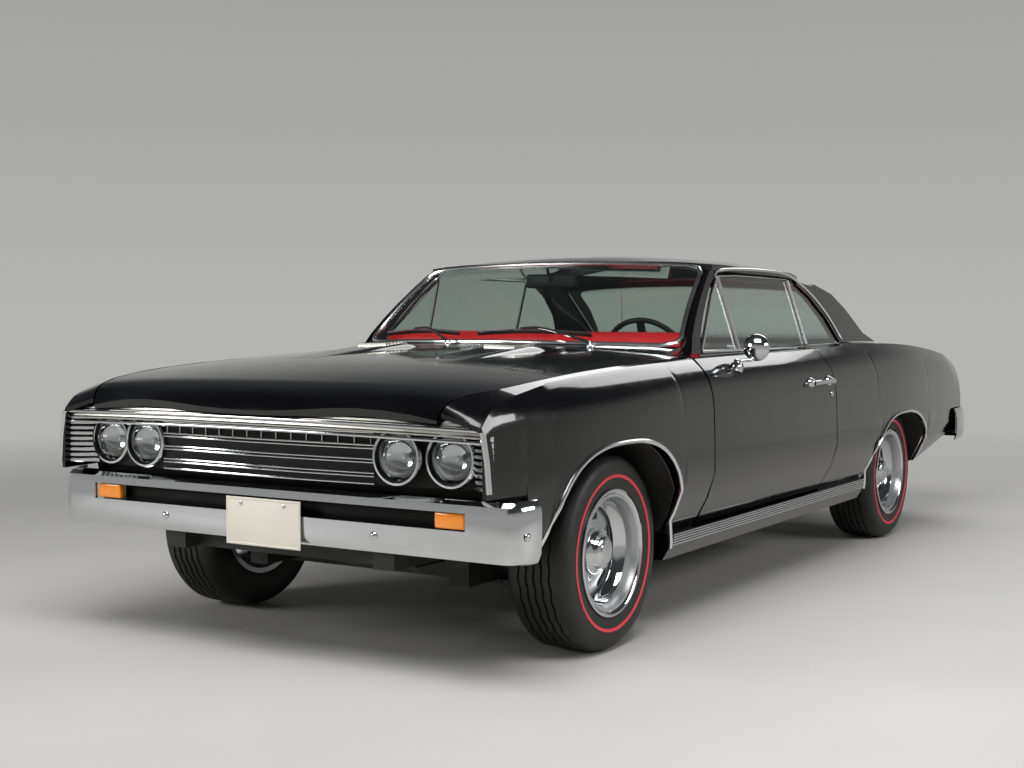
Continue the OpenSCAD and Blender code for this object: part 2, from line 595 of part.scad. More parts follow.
module front_bumper() {
    color(chrome) translate([0, nose_bar_y, 0])
        bumper(half_w - 4, 70, 122, [[40, 386], [14, 391], [2, 416], [0, 479], [0, 532], [4, 556],
               [18, 569], [46, 573]],
               [[40, 396], [24, 402], [12, 422], [10, 479], [10, 532], [14, 550], [26, 560],
               [46, 563]], 760, -89, 448);
}

module rear_bumper() {
    color(chrome) translate([0, tail_y, 0]) mirror([0, 1, 0])
        bumper(half_w - 14, 80, 330, [[40, 416], [14, 421], [2, 446], [0, 490], [0, 530], [6, 566],
               [20, 583], [44, 588]],
               [[40, 426], [24, 432], [12, 452], [11, 490], [11, 530], [16, 562], [28, 574],
               [44, 578]], 130);
}

module bumpers() {
    front_bumper();
    rear_bumper();
}

module tail_panel() {
    edge = [for (z = steps(506, 772, 5)) [side_x(quarter_end_y, z) - skin_t - 0.8, z]];
    half = concat([[rear_rail_x + 44, trunk_z], [rear_rail_x + 44, 506]], edge);
    n = len(half);
    color(black) difference() {
        along(quarter_end_y - 33.5, quarter_end_y - 4,
            concat(half, [for (i = [1:n]) [-half[n - i][0], half[n - i][1]]]));
        for (x = [-89, 89])
            translate([x, quarter_end_y - 40, 690]) rotate([-90, 0, 0]) cylinder(h = 50, r = 3.5);
    }
}

module tail_lamps() {
    color(red) mirrored()
        box([half_w - 252, quarter_end_y - 3.6, 622], [half_w - 92, quarter_end_y + 12, 756]);
}

// Radiator support panel with the core behind it
module radiator() {
    y = front_y + 262;
    half = concat([[front_rail_x, horn_z + 56.5]],
        [for (z = steps(horn_z + 62, 828, 5)) [side_x(y, z) - skin_t - 4.8, z]]);
    n = len(half);
    color(iron) {
        along(y, y + 25, concat(half, [for (i = [1:n]) [-half[n - i][0], half[n - i][1]]]));
        box([-300, y + 24, 330], [300, y + 90, 790]);
    }
}

// Grille bowed across the nose, open for the four headlamps, under a shelf to the hood
module grille() {
    xs = steps(-1, 1, 16);
    half = side_x(fender_y + 103, 762) - skin_t - 0.9;
    band = function (front, w) [for (k = xs) [k * w, front(k * w)]];
    module plan(front, back, w)
        polygon(concat(band(front, w), [for (p = band(back, w)) [-p[0], p[1]]]));
    color(iron) difference() {
        union() {
            translate([0, 0, lamp_z - 88])
                linear_extrude(166) plan(function (x) grille_y(x), function (x) grille_y(x) + 26, half);
            translate([0, 0, lamp_z + 77])
                linear_extrude(10) plan(function (x) max(header_y + 16 + 38 * pow(x / 700, 2), fender_y + 4),
                                        function (x) grille_y(x) + 26, half - 24);
        }
        for (x = [-699, -518, 518, 699])
            translate([x, grille_y(x) - 30, lamp_z]) rotate([-90, 0, 0]) cylinder(h = 100, r = 76);
    }
}

module front_lamps() {
    color(chrome) for (x = [-699, -518, 518, 699])
        translate([x, grille_y(x) - 8, lamp_z]) rotate([-90, 0, 0]) cylinder(h = 60, r = 75.4);
    color([0.9, 0.5, 0.1]) mirrored()
        box([646, nose_bar_y + 3, 479.5], [755, nose_bar_y + 40, 531.5]);
}

module lamps() {
    front_lamps();
    tail_lamps();
}

// ---- inside the cabin
wheel_place = [370, glass_base_y + 443, belt_h - 46];
wheel_lean = 68.3;
// Puts its children on the steering column, the middle of the steering wheel at zero
module on_column() {
    translate(wheel_place) rotate([-wheel_lean, 0, 0]) children();
}

module dashboard() {
    y = fire_y + 6.5;
    color(red) difference() {
        across(-703, 703, [[y, 890], [y + 40, 860], [glass_base_y + 146, 700], [glass_base_y + 233, 730],
            [glass_base_y + 254, 930], [glass_base_y + 222, 1008], [glass_base_y + 174, belt_h + 82],
            [glass_base_y + 104, belt_h + 72], [glass_base_y + 44, belt_h + 10],
            [glass_base_y - 60, 934], [y, 925]]);
        on_column() translate([0, 0, -700]) cylinder(h = 700, r = 30.6);
    }
}

module steering_column() {
    low = (wheel_place[1] - fire_y - 7 - 30 * cos(wheel_lean)) / sin(wheel_lean);
    color(iron) on_column() {
        translate([0, 0, -low]) cylinder(h = low - 35, r = 30);
        translate([0, 0, -low]) cylinder(h = low + 8, r = 14);
    }
}

module steering_wheel() {
    color(iron) on_column() {
        rotate_extrude($fn = 72) translate([steering_wheel_d / 2 - 11, 0]) circle(r = 11);
        difference() {
            union() {
                translate([0, 0, -29]) cylinder(h = 50, r = 36);
                for (a = [30, 150, 270])
                    rotate([0, 0, a]) box([20, -16, -8], [steering_wheel_d / 2 - 12, 16, 4]);
            }
            translate([0, 0, -30]) cylinder(h = 39, r = 14.05);
        }
    }
}

module front_seats() {
    y = lock_y - 430;
    base = floor_h + 6.5;
    color(red) mirrored()
        across(142, 142 + seat_w, [[y + 15, base], [y, base + 150], [y + 25, base + 178], [y + 425, base + 150],
            [y + 562, belt_h - 42], [y + 582, belt_h - 12], [y + 645, belt_h - 8], [y + 672, belt_h - 34],
            [y + 560, base + 120], [y + 515, base]]);
}

module rear_seat() {
    w = wheel_x - tyre_w / 2 - 32;
    y = seat_y - 6.6;
    under = rear_axle_y - 262;
    color(red) difference() {
        across(-w, w, [[y - 200, floor_h + 6.5], [y - 210, shelf_z - 6], [y - 180, shelf_z + 46],
            [y + 140, shelf_z + 26], [under - 20, belt_h - 30], [under, belt_h - 4], [under + 48, belt_h - 4],
            [under + 60, belt_h - 30], [y + 220, shelf_z + 0.6], [y, shelf_z + 0.6], [y, floor_h + 6.5]]);
        along(y - 230, y + 10, [[-tunnel_w - 4, floor_h - 1], [-tunnel_w + 24, floor_h + tunnel_h + 0.8],
            [tunnel_w - 24, floor_h + tunnel_h + 0.8], [tunnel_w + 4, floor_h - 1]]);
    }
}

module seats() {
    front_seats();
    rear_seat();
}

// ---- engine and drive
module engine() {
    back = front_axle_y + 444;
    color(iron) {
        box([-260, front_axle_y - 276, 260.5], [260, back, 720]);
        box([-88, back - 1, 255], [88, front_axle_y + 1244, 402]);
    }
}

module driveshaft() {
    a = front_axle_y + 1244.6;
    b = rear_axle_y - 190;
    color(iron) translate([0, a, axle_z]) rotate([-90, 0, 0]) cylinder(h = b - a, r = 36);
}

module axle() {
    color(iron) translate([0, rear_axle_y, axle_z]) {
        rotate([0, 90, 0]) translate([0, 0, -wheel_x + 60]) cylinder(h = 2 * wheel_x - 120, r = 42);
        rotate([0, 90, 0]) translate([0, 0, -90]) cylinder(h = 180, r = 124);
        translate([0, -189.4, 0]) rotate([-90, 0, 0]) cylinder(h = 180, r1 = 50, r2 = 88);
        mirrored() rotate([0, 90, 0]) {
            translate([0, 0, wheel_x - 108]) cylinder(h = 60, r = 140);
            translate([0, 0, 100]) cylinder(h = wheel_x - 75, r = spindle_r);
        }
    }
}

module rear_axle() {
    driveshaft();
    axle();
}

module rear_suspension() {
    color(iron) mirrored() {
        box([rear_rail_x + 10, seat_y + 19.5, 275], [rear_rail_x + 46, rear_axle_y - 42.5, 345]);
        translate([rear_rail_x - 35, rear_axle_y, axle_z + 42.6]) cylinder(h = 30.8, r = 34);
    }
}

module front_suspension() {
    color(iron) mirrored() translate([0, front_axle_y, 0]) {
        for (z = [axle_z - 136, axle_z + 114.4])
            translate([0, 0, z]) {
                translate([rail_x, 0, 0]) cylinder(h = 21.6, r = 30);
                linear_extrude(21.6) polygon([[front_rail_x + 0.6 + (z > axle_z ? -9.6 : 0), -70],
                    [rail_x, -24], [rail_x, 24], [front_rail_x + 0.6 + (z > axle_z ? -9.6 : 0), 70]]);
            }
    }
}

module suspension() {
    front_suspension();
    rear_suspension();
}

module fuel_tank() {
    color(iron) box([-330, rear_arch[1] + 42, 218], [330, quarter_end_y - 220, trunk_z - 0.6]);
}

module exhaust() {
    low = floor_h - 22.6;
    path = [[200, front_axle_y + 445.6, low], [260, seat_y + 14, low], [260, seat_y + 90, axle_z],
            [260, seat_y + 380, axle_z], [300, rear_axle_y - 60, axle_z + 76],
            [300, rear_axle_y + 60, axle_z + 76], [380, rear_axle_y + 280, 262],
            [400, rear_arch[1] + 80, 262], [400, tail_y - 50, 320]];
    color(iron) mirrored() {
        for (i = [0:len(path) - 2]) rod(path[i], path[i + 1], 21);
        for (i = [1:len(path) - 2]) translate(path[i]) sphere(r = 22);
        rod(path[2], path[3], 56);
    }
}

// ---- knuckles, wheels and tyres
module knuckle(side) {
    color(iron) translate([0, front_axle_y, axle_z]) mirror([side < 0 ? 1 : 0, 0, 0]) {
        pin = wheel_x - kingpin_offset;
        translate([pin, 0, -113.6]) cylinder(h = 227.6, r = 24);
        translate([pin, 0, 0]) rotate([0, 90, 0]) cylinder(h = kingpin_offset + 44, r = spindle_r);
        translate([pin + 16, 0, 0]) rotate([0, 90, 0]) cylinder(h = 8, r = 112);
        box([pin - 10, 0, -76], [pin + 10, 144, -52]);
    }
}
module knuckle_left() { knuckle(1); }
module knuckle_right() { knuckle(-1); }

rim_r = rim_d / 2;
// Wheel in its own frame: its axle along +Z with the outer face up
module wheel_form() {
    disc = [[58, 12], [58, 44], [96, 38], [150, 22], [rim_r - 14, 8], [rim_r - 14, -6], [150, 8]];
    difference() {
        union() {
            rotate_extrude($fn = 72)
                polygon([[rim_r - 0.6, -100], [rim_r + 11, -103], [rim_r + 11, -108], [rim_r - 7, -106],
                         [rim_r - 15, -84], [rim_r - 15, 84], [rim_r - 7, 106], [rim_r + 11, 108],
                         [rim_r + 11, 103], [rim_r - 0.6, 100]]);
            rotate_extrude($fn = 72) polygon(disc);
            translate([0, 0, 4]) cylinder(h = 44, r = 60);
            translate([0, 0, 44]) cylinder(h = 26, r1 = 46, r2 = 40);
        }
        translate([0, 0, -1]) cylinder(h = 46, r = spindle_r + 0.05);
        for (a = [0:72:359]) rotate([0, 0, a + 36]) {
            box([104, -22, -20], [138, 22, 60]);
            for (s = [-22, 22]) translate([121, s, -20]) cylinder(h = 80, r = 17);
        }
    }
}
module tyre_form() {
    r = rim_r + 0.4;
    w = tyre_w / 2;
    rotate_extrude($fn = 96)
        polygon([[r, -w + 17], [r + 14, -w + 14], [r + 62, -w], [tyre_r - 26, -w + 2], [tyre_r - 8, -w + 16],
                 [tyre_r, -w + 36], [tyre_r, w - 36], [tyre_r - 8, w - 16], [tyre_r - 26, w - 2],
                 [r + 62, w], [r + 14, w - 14], [r, w - 17]]);
}
// Puts its children at a wheel's place, turned so that +Z points outwards
module at_wheel(side, y) {
    translate([side * wheel_x, y, axle_z]) rotate([0, side * 90, 0]) children();
}
module wheel_front_left() { color(chrome) at_wheel(1, front_axle_y) wheel_form(); }
module wheel_front_right() { color(chrome) at_wheel(-1, front_axle_y) wheel_form(); }
module wheel_rear_left() { color(chrome) at_wheel(1, rear_axle_y) wheel_form(); }
module wheel_rear_right() { color(chrome) at_wheel(-1, rear_axle_y) wheel_form(); }
module tyre_front_left() { color(rubber) at_wheel(1, front_axle_y) tyre_form(); }
module tyre_front_right() { color(rubber) at_wheel(-1, front_axle_y) tyre_form(); }
module tyre_rear_left() { color(rubber) at_wheel(1, rear_axle_y) tyre_form(); }
module tyre_rear_right() { color(rubber) at_wheel(-1, rear_axle_y) tyre_form(); }

module door_mirror() {
    y = glass_base_y + 232;
    z = belt_h + 30;
    color(chrome) {
        translate([half_w - 12, y, z]) rotate([90, 0, 0]) {
            cylinder(h = 14, r = 52);
            translate([0, 0, 14]) cylinder(h = 34, r1 = 52, r2 = 18);
        }
        rod([side_x(y - 60, belt_h - 42) + 5, y - 60, belt_h - 42], [half_w - 12, y - 20, z - 8], 9);
    }
}

chassis_frame();
floor_pan();
firewall();
hinge_pillars();
cowl_panel();
roof_panel();
roof_pillars();
quarter_panels();
rocker_panels();
fenders();
wheelhouses();
rear_deck();
tail_panel();
radiator();
grille();
lamps();
bumpers();
windshield();
rear_windows();
dashboard();
steering_column();
seats();
engine();
rear_axle();
fuel_tank();
exhaust();
suspension();
hood();
trunk_lid();
door_left();
door_right();
door_glass_left();
door_glass_right();
door_mirror();
knuckle_left();
knuckle_right();
steering_wheel();
wheel_front_left();
wheel_front_right();
wheel_rear_left();
wheel_rear_right();
tyre_front_left();
tyre_front_right();
tyre_rear_left();
tyre_rear_right();
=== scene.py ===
# %% [markdown]
# # A two-door hardtop coupe of the sixties
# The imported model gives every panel, its size and its place. This lesson adds the
# finishes and the small bright parts: lamps, mouldings, tyres, padding and glass.

# %% Load the frame
import math
import bpy
import bmesh
from mathutils import Matrix, Vector
from mathutils.bvhtree import BVHTree


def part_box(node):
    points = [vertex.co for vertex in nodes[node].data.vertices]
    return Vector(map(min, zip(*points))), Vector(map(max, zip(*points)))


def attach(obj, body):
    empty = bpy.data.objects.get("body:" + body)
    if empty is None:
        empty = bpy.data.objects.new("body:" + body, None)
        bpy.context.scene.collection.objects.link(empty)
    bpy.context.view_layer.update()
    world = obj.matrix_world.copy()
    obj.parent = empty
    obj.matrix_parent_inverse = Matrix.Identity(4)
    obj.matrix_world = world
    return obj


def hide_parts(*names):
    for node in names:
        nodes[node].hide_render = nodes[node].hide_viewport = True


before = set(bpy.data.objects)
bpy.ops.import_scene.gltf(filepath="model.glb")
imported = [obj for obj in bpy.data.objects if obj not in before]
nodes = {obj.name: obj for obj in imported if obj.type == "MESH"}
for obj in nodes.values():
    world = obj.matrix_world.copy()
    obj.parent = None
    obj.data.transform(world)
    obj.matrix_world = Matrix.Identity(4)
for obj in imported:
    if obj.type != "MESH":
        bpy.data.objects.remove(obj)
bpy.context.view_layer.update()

# %% [markdown]
# ## Camera, floor and light
# The coupe stands on a plain pale floor. A lens a little longer than normal, held at
# chest height, keeps its nose from swelling. Large soft lamps give a black car its shape, because glossy
# paint shows little but what it reflects.

# %% Camera
MM = 0.001


def at(x, y, z):
    """A place in millimetres, as the frame's metres."""
    return Vector((x, y, z)) * MM


camera = bpy.data.objects.new("camera", bpy.data.cameras.new("camera"))
camera.location = at(3124, -5960, 1117)
camera.rotation_euler = (math.radians(87.2), 0, math.radians(31.78))
camera.data.sensor_width = 36
camera.data.lens = 52.2
camera.data.clip_end = 200
scene = bpy.context.scene
scene.collection.objects.link(camera)
scene.camera = camera
scene.view_settings.view_transform = "Standard"
print("camera at", tuple(round(v, 2) for v in camera.location))

# %% Colours and nodes


def colour(code):
    """A linear colour from an sRGB hex value."""
    parts = [int(code[i:i + 2], 16) / 255 for i in (1, 3, 5)]
    return tuple(c / 12.92 if c <= 0.04045 else ((c + 0.055) / 1.055) ** 2.4 for c in parts) + (1,)


def add(tree, kind, sockets=None, **settings):
    """Adds a node, sets it, and links or fills its sockets."""
    made = tree.nodes.new(kind)
    for name, value in settings.items():
        setattr(made, name, value)
    for name, value in (sockets or {}).items():
        if isinstance(value, bpy.types.NodeSocket):
            tree.links.new(value, made.inputs[name])
        else:
            made.inputs[name].default_value = value
    return made


# %% World and lamps
world = bpy.data.worlds.new("studio")
scene.world = world
world.use_nodes = True
tree = world.node_tree
tree.nodes.clear()
backdrop = colour("#B4B4B1")
where = add(tree, "ShaderNodeTexCoord")
height = add(tree, "ShaderNodeSeparateXYZ", {"Vector": where.outputs["Generated"]})
sky = add(tree, "ShaderNodeValToRGB", {"Fac": height.outputs["Z"]})
for place, code in ((0.2, "#A2A2A0"), (0.34, "#4A4B4D"), (0.8, "#3A3B3D")):
    stop = sky.color_ramp.elements.new(place)
    stop.color = colour(code)
sky.color_ramp.elements[0].color = backdrop
sky.color_ramp.elements[-1].color = colour("#4C4C4E")
glow = add(tree, "ShaderNodeBackground", {"Color": sky.outputs["Color"], "Strength": 1.0})
add(tree, "ShaderNodeOutputWorld", {"Surface": glow.outputs["Background"]})


def softbox(name, place, aim, size, power):
    """A rectangular studio lamp at place, turned to aim."""
    lamp = bpy.data.lights.new(name, "AREA")
    lamp.shape = "RECTANGLE"
    lamp.size, lamp.size_y = size
    lamp.energy = power
    made = bpy.data.objects.new(name, lamp)
    made.location = place
    made.rotation_euler = (aim - place).to_track_quat("-Z", "Y").to_euler()
    scene.collection.objects.link(made)
    return made


softbox("overhead", at(1800, -4200, 5600), at(0, -600, 300), (5, 3), 420)
softbox("nose_fill", at(-4200, -6400, 2600), at(0, -1500, 500), (2.4, 1.6), 150)
softbox("side_fill", at(7200, 900, 3400), at(0, 0, 600), (5, 1.4), 200)
softbox("tail_fill", at(-600, 6800, 5600), at(0, 1200, 600), (6, 4), 200)

# %% Floor
bm = bmesh.new()
bmesh.ops.create_grid(bm, x_segments=4, y_segments=4, size=40)
mesh = bpy.data.meshes.new("floor")
bm.to_mesh(mesh)
bm.free()
floor = bpy.data.objects.new("floor", mesh)
scene.collection.objects.link(floor)
pale = bpy.data.materials.new("pale_vinyl_floor")
pale.use_nodes = True
tree = pale.node_tree
place = add(tree, "ShaderNodeTexCoord")
mottle = add(tree, "ShaderNodeTexNoise", {"Vector": place.outputs["Object"], "Scale": 2.0, "Detail": 3})
tone = add(tree, "ShaderNodeMix", {"Factor": mottle.outputs["Fac"]}, data_type="RGBA")
tone.inputs["A"].default_value = colour("#BEBDB9")
tone.inputs["B"].default_value = colour("#C6C5C1")
shader = tree.nodes["Principled BSDF"]
tree.links.new(tone.outputs["Result"], shader.inputs["Base Color"])
shader.inputs["Roughness"].default_value = 0.55
# Between these distances in metres the floor fades to the backdrop's tone, so no edge shows.
fade_from, fade_to = 2.6, 8.5
away = add(tree, "ShaderNodeVectorMath", {"Vector": place.outputs["Object"]}, operation="LENGTH")
far = add(tree, "ShaderNodeMapRange",
          {"Value": away.outputs["Value"], "From Min": fade_from, "From Max": fade_to},
          interpolation_type="SMOOTHSTEP")
haze = add(tree, "ShaderNodeEmission", {"Color": backdrop, "Strength": 1.0})
meet = add(tree, "ShaderNodeMixShader", {0: far.outputs["Result"]})
tree.links.new(shader.outputs["BSDF"], meet.inputs[1])
tree.links.new(haze.outputs["Emission"], meet.inputs[2])
tree.links.new(meet.outputs["Shader"], tree.nodes["Material Output"].inputs["Surface"])
mesh.materials.append(pale)
print("floor laid")

# %% [markdown]
# ## Finishes
# Most surfaces here are hard: lacquer, plate, glass, rubber and vinyl. Each one starts
# from a Principled shader with two near tones mixed by noise, a roughness that changes
# over the surface as handling and polish leave it, and a fine bump at the grain's size.

# %% A finish with grain


def finish(name, tones, rough, grain, bump=0.0, patch=120, **fixed):
    """A material whose tone and roughness drift over patch mm, with bump at grain mm."""
    made = bpy.data.materials.new(name)
    made.use_nodes = True
    tree = made.node_tree
    shader = tree.nodes["Principled BSDF"]
    place = add(tree, "ShaderNodeTexCoord").outputs["Object"]
    drift = add(tree, "ShaderNodeTexNoise", {"Vector": place, "Scale": 1000 / patch, "Detail": 3})
    tone = add(tree, "ShaderNodeMix", {"Factor": drift.outputs["Fac"]}, data_type="RGBA")
    tone.inputs["A"].default_value = colour(tones[0])
    tone.inputs["B"].default_value = colour(tones[1])
    worn = add(tree, "ShaderNodeMapRange", {"Value": drift.outputs["Fac"], "From Min": 0.3,
                                            "From Max": 0.7, "To Min": rough[0], "To Max": rough[1]})
    tree.links.new(tone.outputs["Result"], shader.inputs["Base Color"])
    tree.links.new(worn.outputs["Result"], shader.inputs["Roughness"])
    if bump:
        fine = add(tree, "ShaderNodeTexNoise", {"Vector": place, "Scale": 1000 / grain, "Detail": 2})
        raised = add(tree, "ShaderNodeBump", {"Height": fine.outputs["Fac"], "Strength": bump,
                                              "Distance": 0.001})
        tree.links.new(raised.outputs["Normal"], shader.inputs["Normal"])
    for socket, value in fixed.items():
        shader.inputs[socket.replace("_", " ")].default_value = value
    return made


# Black acrylic lacquer, sprayed and buffed: deep, wet, with faint orange peel.
lacquer = finish("black_acrylic_lacquer", ("#030304", "#050506"), (0.10, 0.16), 5, 0.02,
                 Specular_IOR_Level=0.25, Coat_Weight=0.6, Coat_Roughness=0.03, Coat_IOR=1.5)
# Triple-plated steel: nearly a mirror, with a soft haze where it is wiped.
plate = finish("chrome_plated_steel", ("#C2C4C6", "#CDCED0"), (0.04, 0.09), 20, 0.02, Metallic=1.0)
# Polished stainless trim: brighter than satin and softer than chrome.
stainless = finish("polished_stainless_trim", ("#DADBDD", "#E8E8EA"), (0.15, 0.22), 20, 0.02,
                   Metallic=1.0)
# Anodised aluminium trim: satin, a little warm.
satin = finish("anodised_aluminium", ("#B9B6AE", "#CCC9C2"), (0.26, 0.36), 3, 0.05, Metallic=1.0)
# Silver wheel enamel over pressed steel.
silver = finish("silver_wheel_enamel", ("#A8A9AB", "#BCBDBE"), (0.28, 0.38), 2, 0.05, Metallic=0.75)
# Chassis black: brushed on, with a low sheen and road dust.
chassis_black = finish("chassis_black_enamel", ("#0E0E0E", "#1B1A18"), (0.45, 0.7), 4, 0.15)
# Moulded black plastic and black rubber seals.
black_plastic = finish("moulded_black_plastic", ("#060606", "#0C0C0C"), (0.45, 0.6), 1.5, 0.1,
                       Specular_IOR_Level=0.2)
# Tyre rubber: carbon black with a bloom that greys it in patches.
rubber = finish("tyre_rubber", ("#0A0A0A", "#131312"), (0.45, 0.6), 2, 0.2)
# The coloured ring moulded into the sidewall.
red_rubber = finish("red_sidewall_rubber", ("#D02A3C", "#DC3F4D"), (0.5, 0.6), 2, 0.1)
# Red expanded vinyl with a pressed hide grain, drawn at 3 mm so that it shows.
red_vinyl = finish("red_grained_vinyl", ("#B30E1B", "#C81622"), (0.36, 0.5), 3, 0.25)
# Black loop carpet and headlining.
carpet = finish("black_loop_carpet", ("#0C0C0D", "#181819"), (0.85, 0.95), 4, 0.9)
# Cast iron with heat-proof dark enamel, and plain aluminised steel.
engine_enamel = finish("dark_engine_enamel", ("#1A1512", "#241C18"), (0.35, 0.55), 4, 0.3)
aluminised = finish("aluminised_steel", ("#6E6B66", "#8C8982"), (0.3, 0.55), 6, 0.2, Metallic=0.9)
# Amber acrylic over a bright can reads as a solid, glossy orange.
amber = finish("amber_acrylic", ("#E8780A", "#F59A1C"), (0.1, 0.2), 6, 0.3, patch=25, Coat_Weight=1.0)
# The blank number plates.
cream = finish("cream_enamel_plate", ("#DAD4C6", "#E2DDD1"), (0.3, 0.4), 3, 0.05)
print("finishes:", len(bpy.data.materials))

# %% [markdown]
# Window glass has to let the lamps through, or the cabin behind it goes dark. A
# Transparent shader stands in for shadow rays only, so the pane still bends and
# reflects what the eye sees.

# %% Glass


WAVE_LENGTH = 314.16  # mm from crest to crest in a wave texture of scale 1


def glass(name, code, rough=0.0, wave=0, ior=1.5):
    """Clear or coloured glass, with an upright bump every wave mm where a lens has one."""
    made = bpy.data.materials.new(name)
    made.use_nodes = True
    tree = made.node_tree
    shader = tree.nodes["Principled BSDF"]
    shader.inputs["Base Color"].default_value = colour(code)
    shader.inputs["Transmission Weight"].default_value = 1.0
    shader.inputs["IOR"].default_value = ior
    shader.inputs["Roughness"].default_value = rough
    place = add(tree, "ShaderNodeTexCoord").outputs["Object"]
    if wave:
        ribs = add(tree, "ShaderNodeTexWave",
                   {"Vector": place, "Scale": WAVE_LENGTH / wave, "Distortion": 0.0}, bands_direction="X")
        raised = add(tree, "ShaderNodeBump",
                     {"Height": ribs.outputs["Fac"], "Strength": 0.5, "Distance": 0.002})
        tree.links.new(raised.outputs["Normal"], shader.inputs["Normal"])
    else:
        smear = add(tree, "ShaderNodeTexNoise", {"Vector": place, "Scale": 4.0, "Detail": 4})
        film = add(tree, "ShaderNodeMapRange",
                   {"Value": smear.outputs["Fac"], "To Min": rough, "To Max": rough + 0.02})
        tree.links.new(film.outputs["Result"], shader.inputs["Roughness"])
    through = add(tree, "ShaderNodeBsdfTransparent", {"Color": colour(code)})
    rays = add(tree, "ShaderNodeLightPath")
    both = add(tree, "ShaderNodeMixShader", {0: rays.outputs["Is Shadow Ray"]})
    tree.links.new(shader.outputs["BSDF"], both.inputs[1])
    tree.links.new(through.outputs["BSDF"], both.inputs[2])
    tree.links.new(both.outputs["Shader"], tree.nodes["Material Output"].inputs["Surface"])
    return made


tinted = glass("tinted_safety_glass", "#DCE8E2")
lens_glass = glass("pressed_lens_glass", "#F4F6F6", wave=120)
ruby = glass("ruby_acrylic", "#B00A12", rough=0.1, wave=80)
print("glass:", [m.name for m in (tinted, lens_glass, ruby)])

# %% [markdown]
# ## The panels
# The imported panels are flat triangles. A pressed panel is smooth until it folds, so a
# small geometry node tree merges the triangles' corners and shades them smooth, and
# keeps each edge that turns by more than a set angle sharp.

# %% Smooth shading that keeps folds
shading = bpy.data.node_groups.new("pressed_panel", "GeometryNodeTree")
shading.interface.new_socket("Geometry", in_out="INPUT", socket_type="NodeSocketGeometry")
shading.interface.new_socket("Geometry", in_out="OUTPUT", socket_type="NodeSocketGeometry")
came = add(shading, "NodeGroupInput")
joined = add(shading, "GeometryNodeMergeByDistance", {"Geometry": came.outputs[0], "Distance": 0.0001})
soft = add(shading, "GeometryNodeSetShadeSmooth", {"Geometry": joined.outputs[0], "Shade Smooth": True})
turn = add(shading, "GeometryNodeInputMeshEdgeAngle")
fold = add(shading, "FunctionNodeCompare", {"A": turn.outputs["Unsigned Angle"], "B": math.radians(32)},
           operation="GREATER_THAN")
crisp = add(shading, "GeometryNodeSetShadeSmooth",
            {"Geometry": soft.outputs[0], "Selection": fold.outputs["Result"], "Shade Smooth": False},
            domain="EDGE")
add(shading, "NodeGroupOutput", {0: crisp.outputs[0]})

finishes = {
    lacquer: "roof_panel roof_pillars quarter_panels rocker_panels fenders rear_deck tail_panel hood "
             "trunk_lid door_left door_right cowl_panel",
    chassis_black: "chassis_frame hinge_pillars firewall wheelhouses suspension rear_axle fuel_tank radiator",
    black_plastic: "grille steering_column steering_wheel",
    carpet: "floor_pan",
    plate: "bumpers",
    tinted: "windshield rear_windows door_glass_left door_glass_right",
    engine_enamel: "engine",
    aluminised: "exhaust knuckle_left knuckle_right",
    silver: "wheel_front_left wheel_front_right wheel_rear_left wheel_rear_right",
    rubber: "tyre_front_left tyre_front_right tyre_rear_left tyre_rear_right",
    red_vinyl: "seats dashboard",
}
for material, names in finishes.items():
    for name in names.split():
        made = nodes[name]
        made.data.materials.clear()
        made.data.materials.append(material)
        made.modifiers.new("pressed_panel", "NODES").node_group = shading
print("panels finished:", sum(len(names.split()) for names in finishes.values()))

# %% [markdown]
# ## Tools for trim
# Bright trim is rolled strip: one section, swept along an edge of the body. The same
# sweep makes mouldings, bars and wiper blades. Round parts are one outline, spun. A ray
# sent at the panels finds where each strip sits.

# %% Sweep, turn, block and rod


def sweep(bm, path, outs, outline, closed=False):
    """Extrudes an outline of (across, out) millimetres along a path."""
    frames = []
    for i, here in enumerate(path):
        ahead = path[(i + 1) % len(path)] if closed or i + 1 < len(path) else here
        behind = path[i - 1] if closed or i else here
        along = (ahead - behind).normalized()
        out = outs[i] if isinstance(outs, list) else outs
        out = (out - along * out.dot(along)).normalized()
        turn = Matrix((along.cross(out), out, along)).transposed().to_4x4()
        frames.append(Matrix.Translation(here) @ turn)
    ring = [bm.verts.new(frames[0] @ at(a, b, 0)) for a, b in outline]
    edges = [bm.edges.new((ring[i - 1], ring[i])) for i in range(len(ring))]
    first = edges
    for last, here in zip(frames, frames[1:]):
        grown = bmesh.ops.extrude_edge_only(bm, edges=edges)["geom"]
        verts = [g for g in grown if isinstance(g, bmesh.types.BMVert)]
        fresh = set(verts)
        edges = [g for g in grown if isinstance(g, bmesh.types.BMEdge) and fresh.issuperset(g.verts)]
        bmesh.ops.transform(bm, matrix=here @ last.inverted(), verts=verts)
    if closed:
        bmesh.ops.bridge_loops(bm, edges=first + edges)
    else:
        bmesh.ops.edgeloop_fill(bm, edges=first)
        bmesh.ops.edgeloop_fill(bm, edges=edges)


def turned(bm, outline, centre, axis, steps=48):
    """Spins an outline of (radius, along) millimetres round an axis."""
    old = set(bm.verts)
    verts = [bm.verts.new(at(r, 0, h)) for r, h in outline]
    edges = [bm.edges.new(pair) for pair in zip(verts, verts[1:])]
    bmesh.ops.spin(bm, geom=verts + edges, cent=(0, 0, 0), axis=(0, 0, 1), dvec=(0, 0, 0),
                   angle=math.tau, steps=steps, use_merge=True, use_duplicate=False)
    fresh = [v for v in bm.verts if v not in old]
    bmesh.ops.remove_doubles(bm, verts=fresh, dist=0.00002)
    fresh = [v for v in bm.verts if v not in old]
    stand = Vector(axis).to_track_quat("Z", "Y").to_matrix().to_4x4()
    bmesh.ops.transform(bm, matrix=Matrix.Translation(centre) @ stand, verts=fresh)
    return fresh


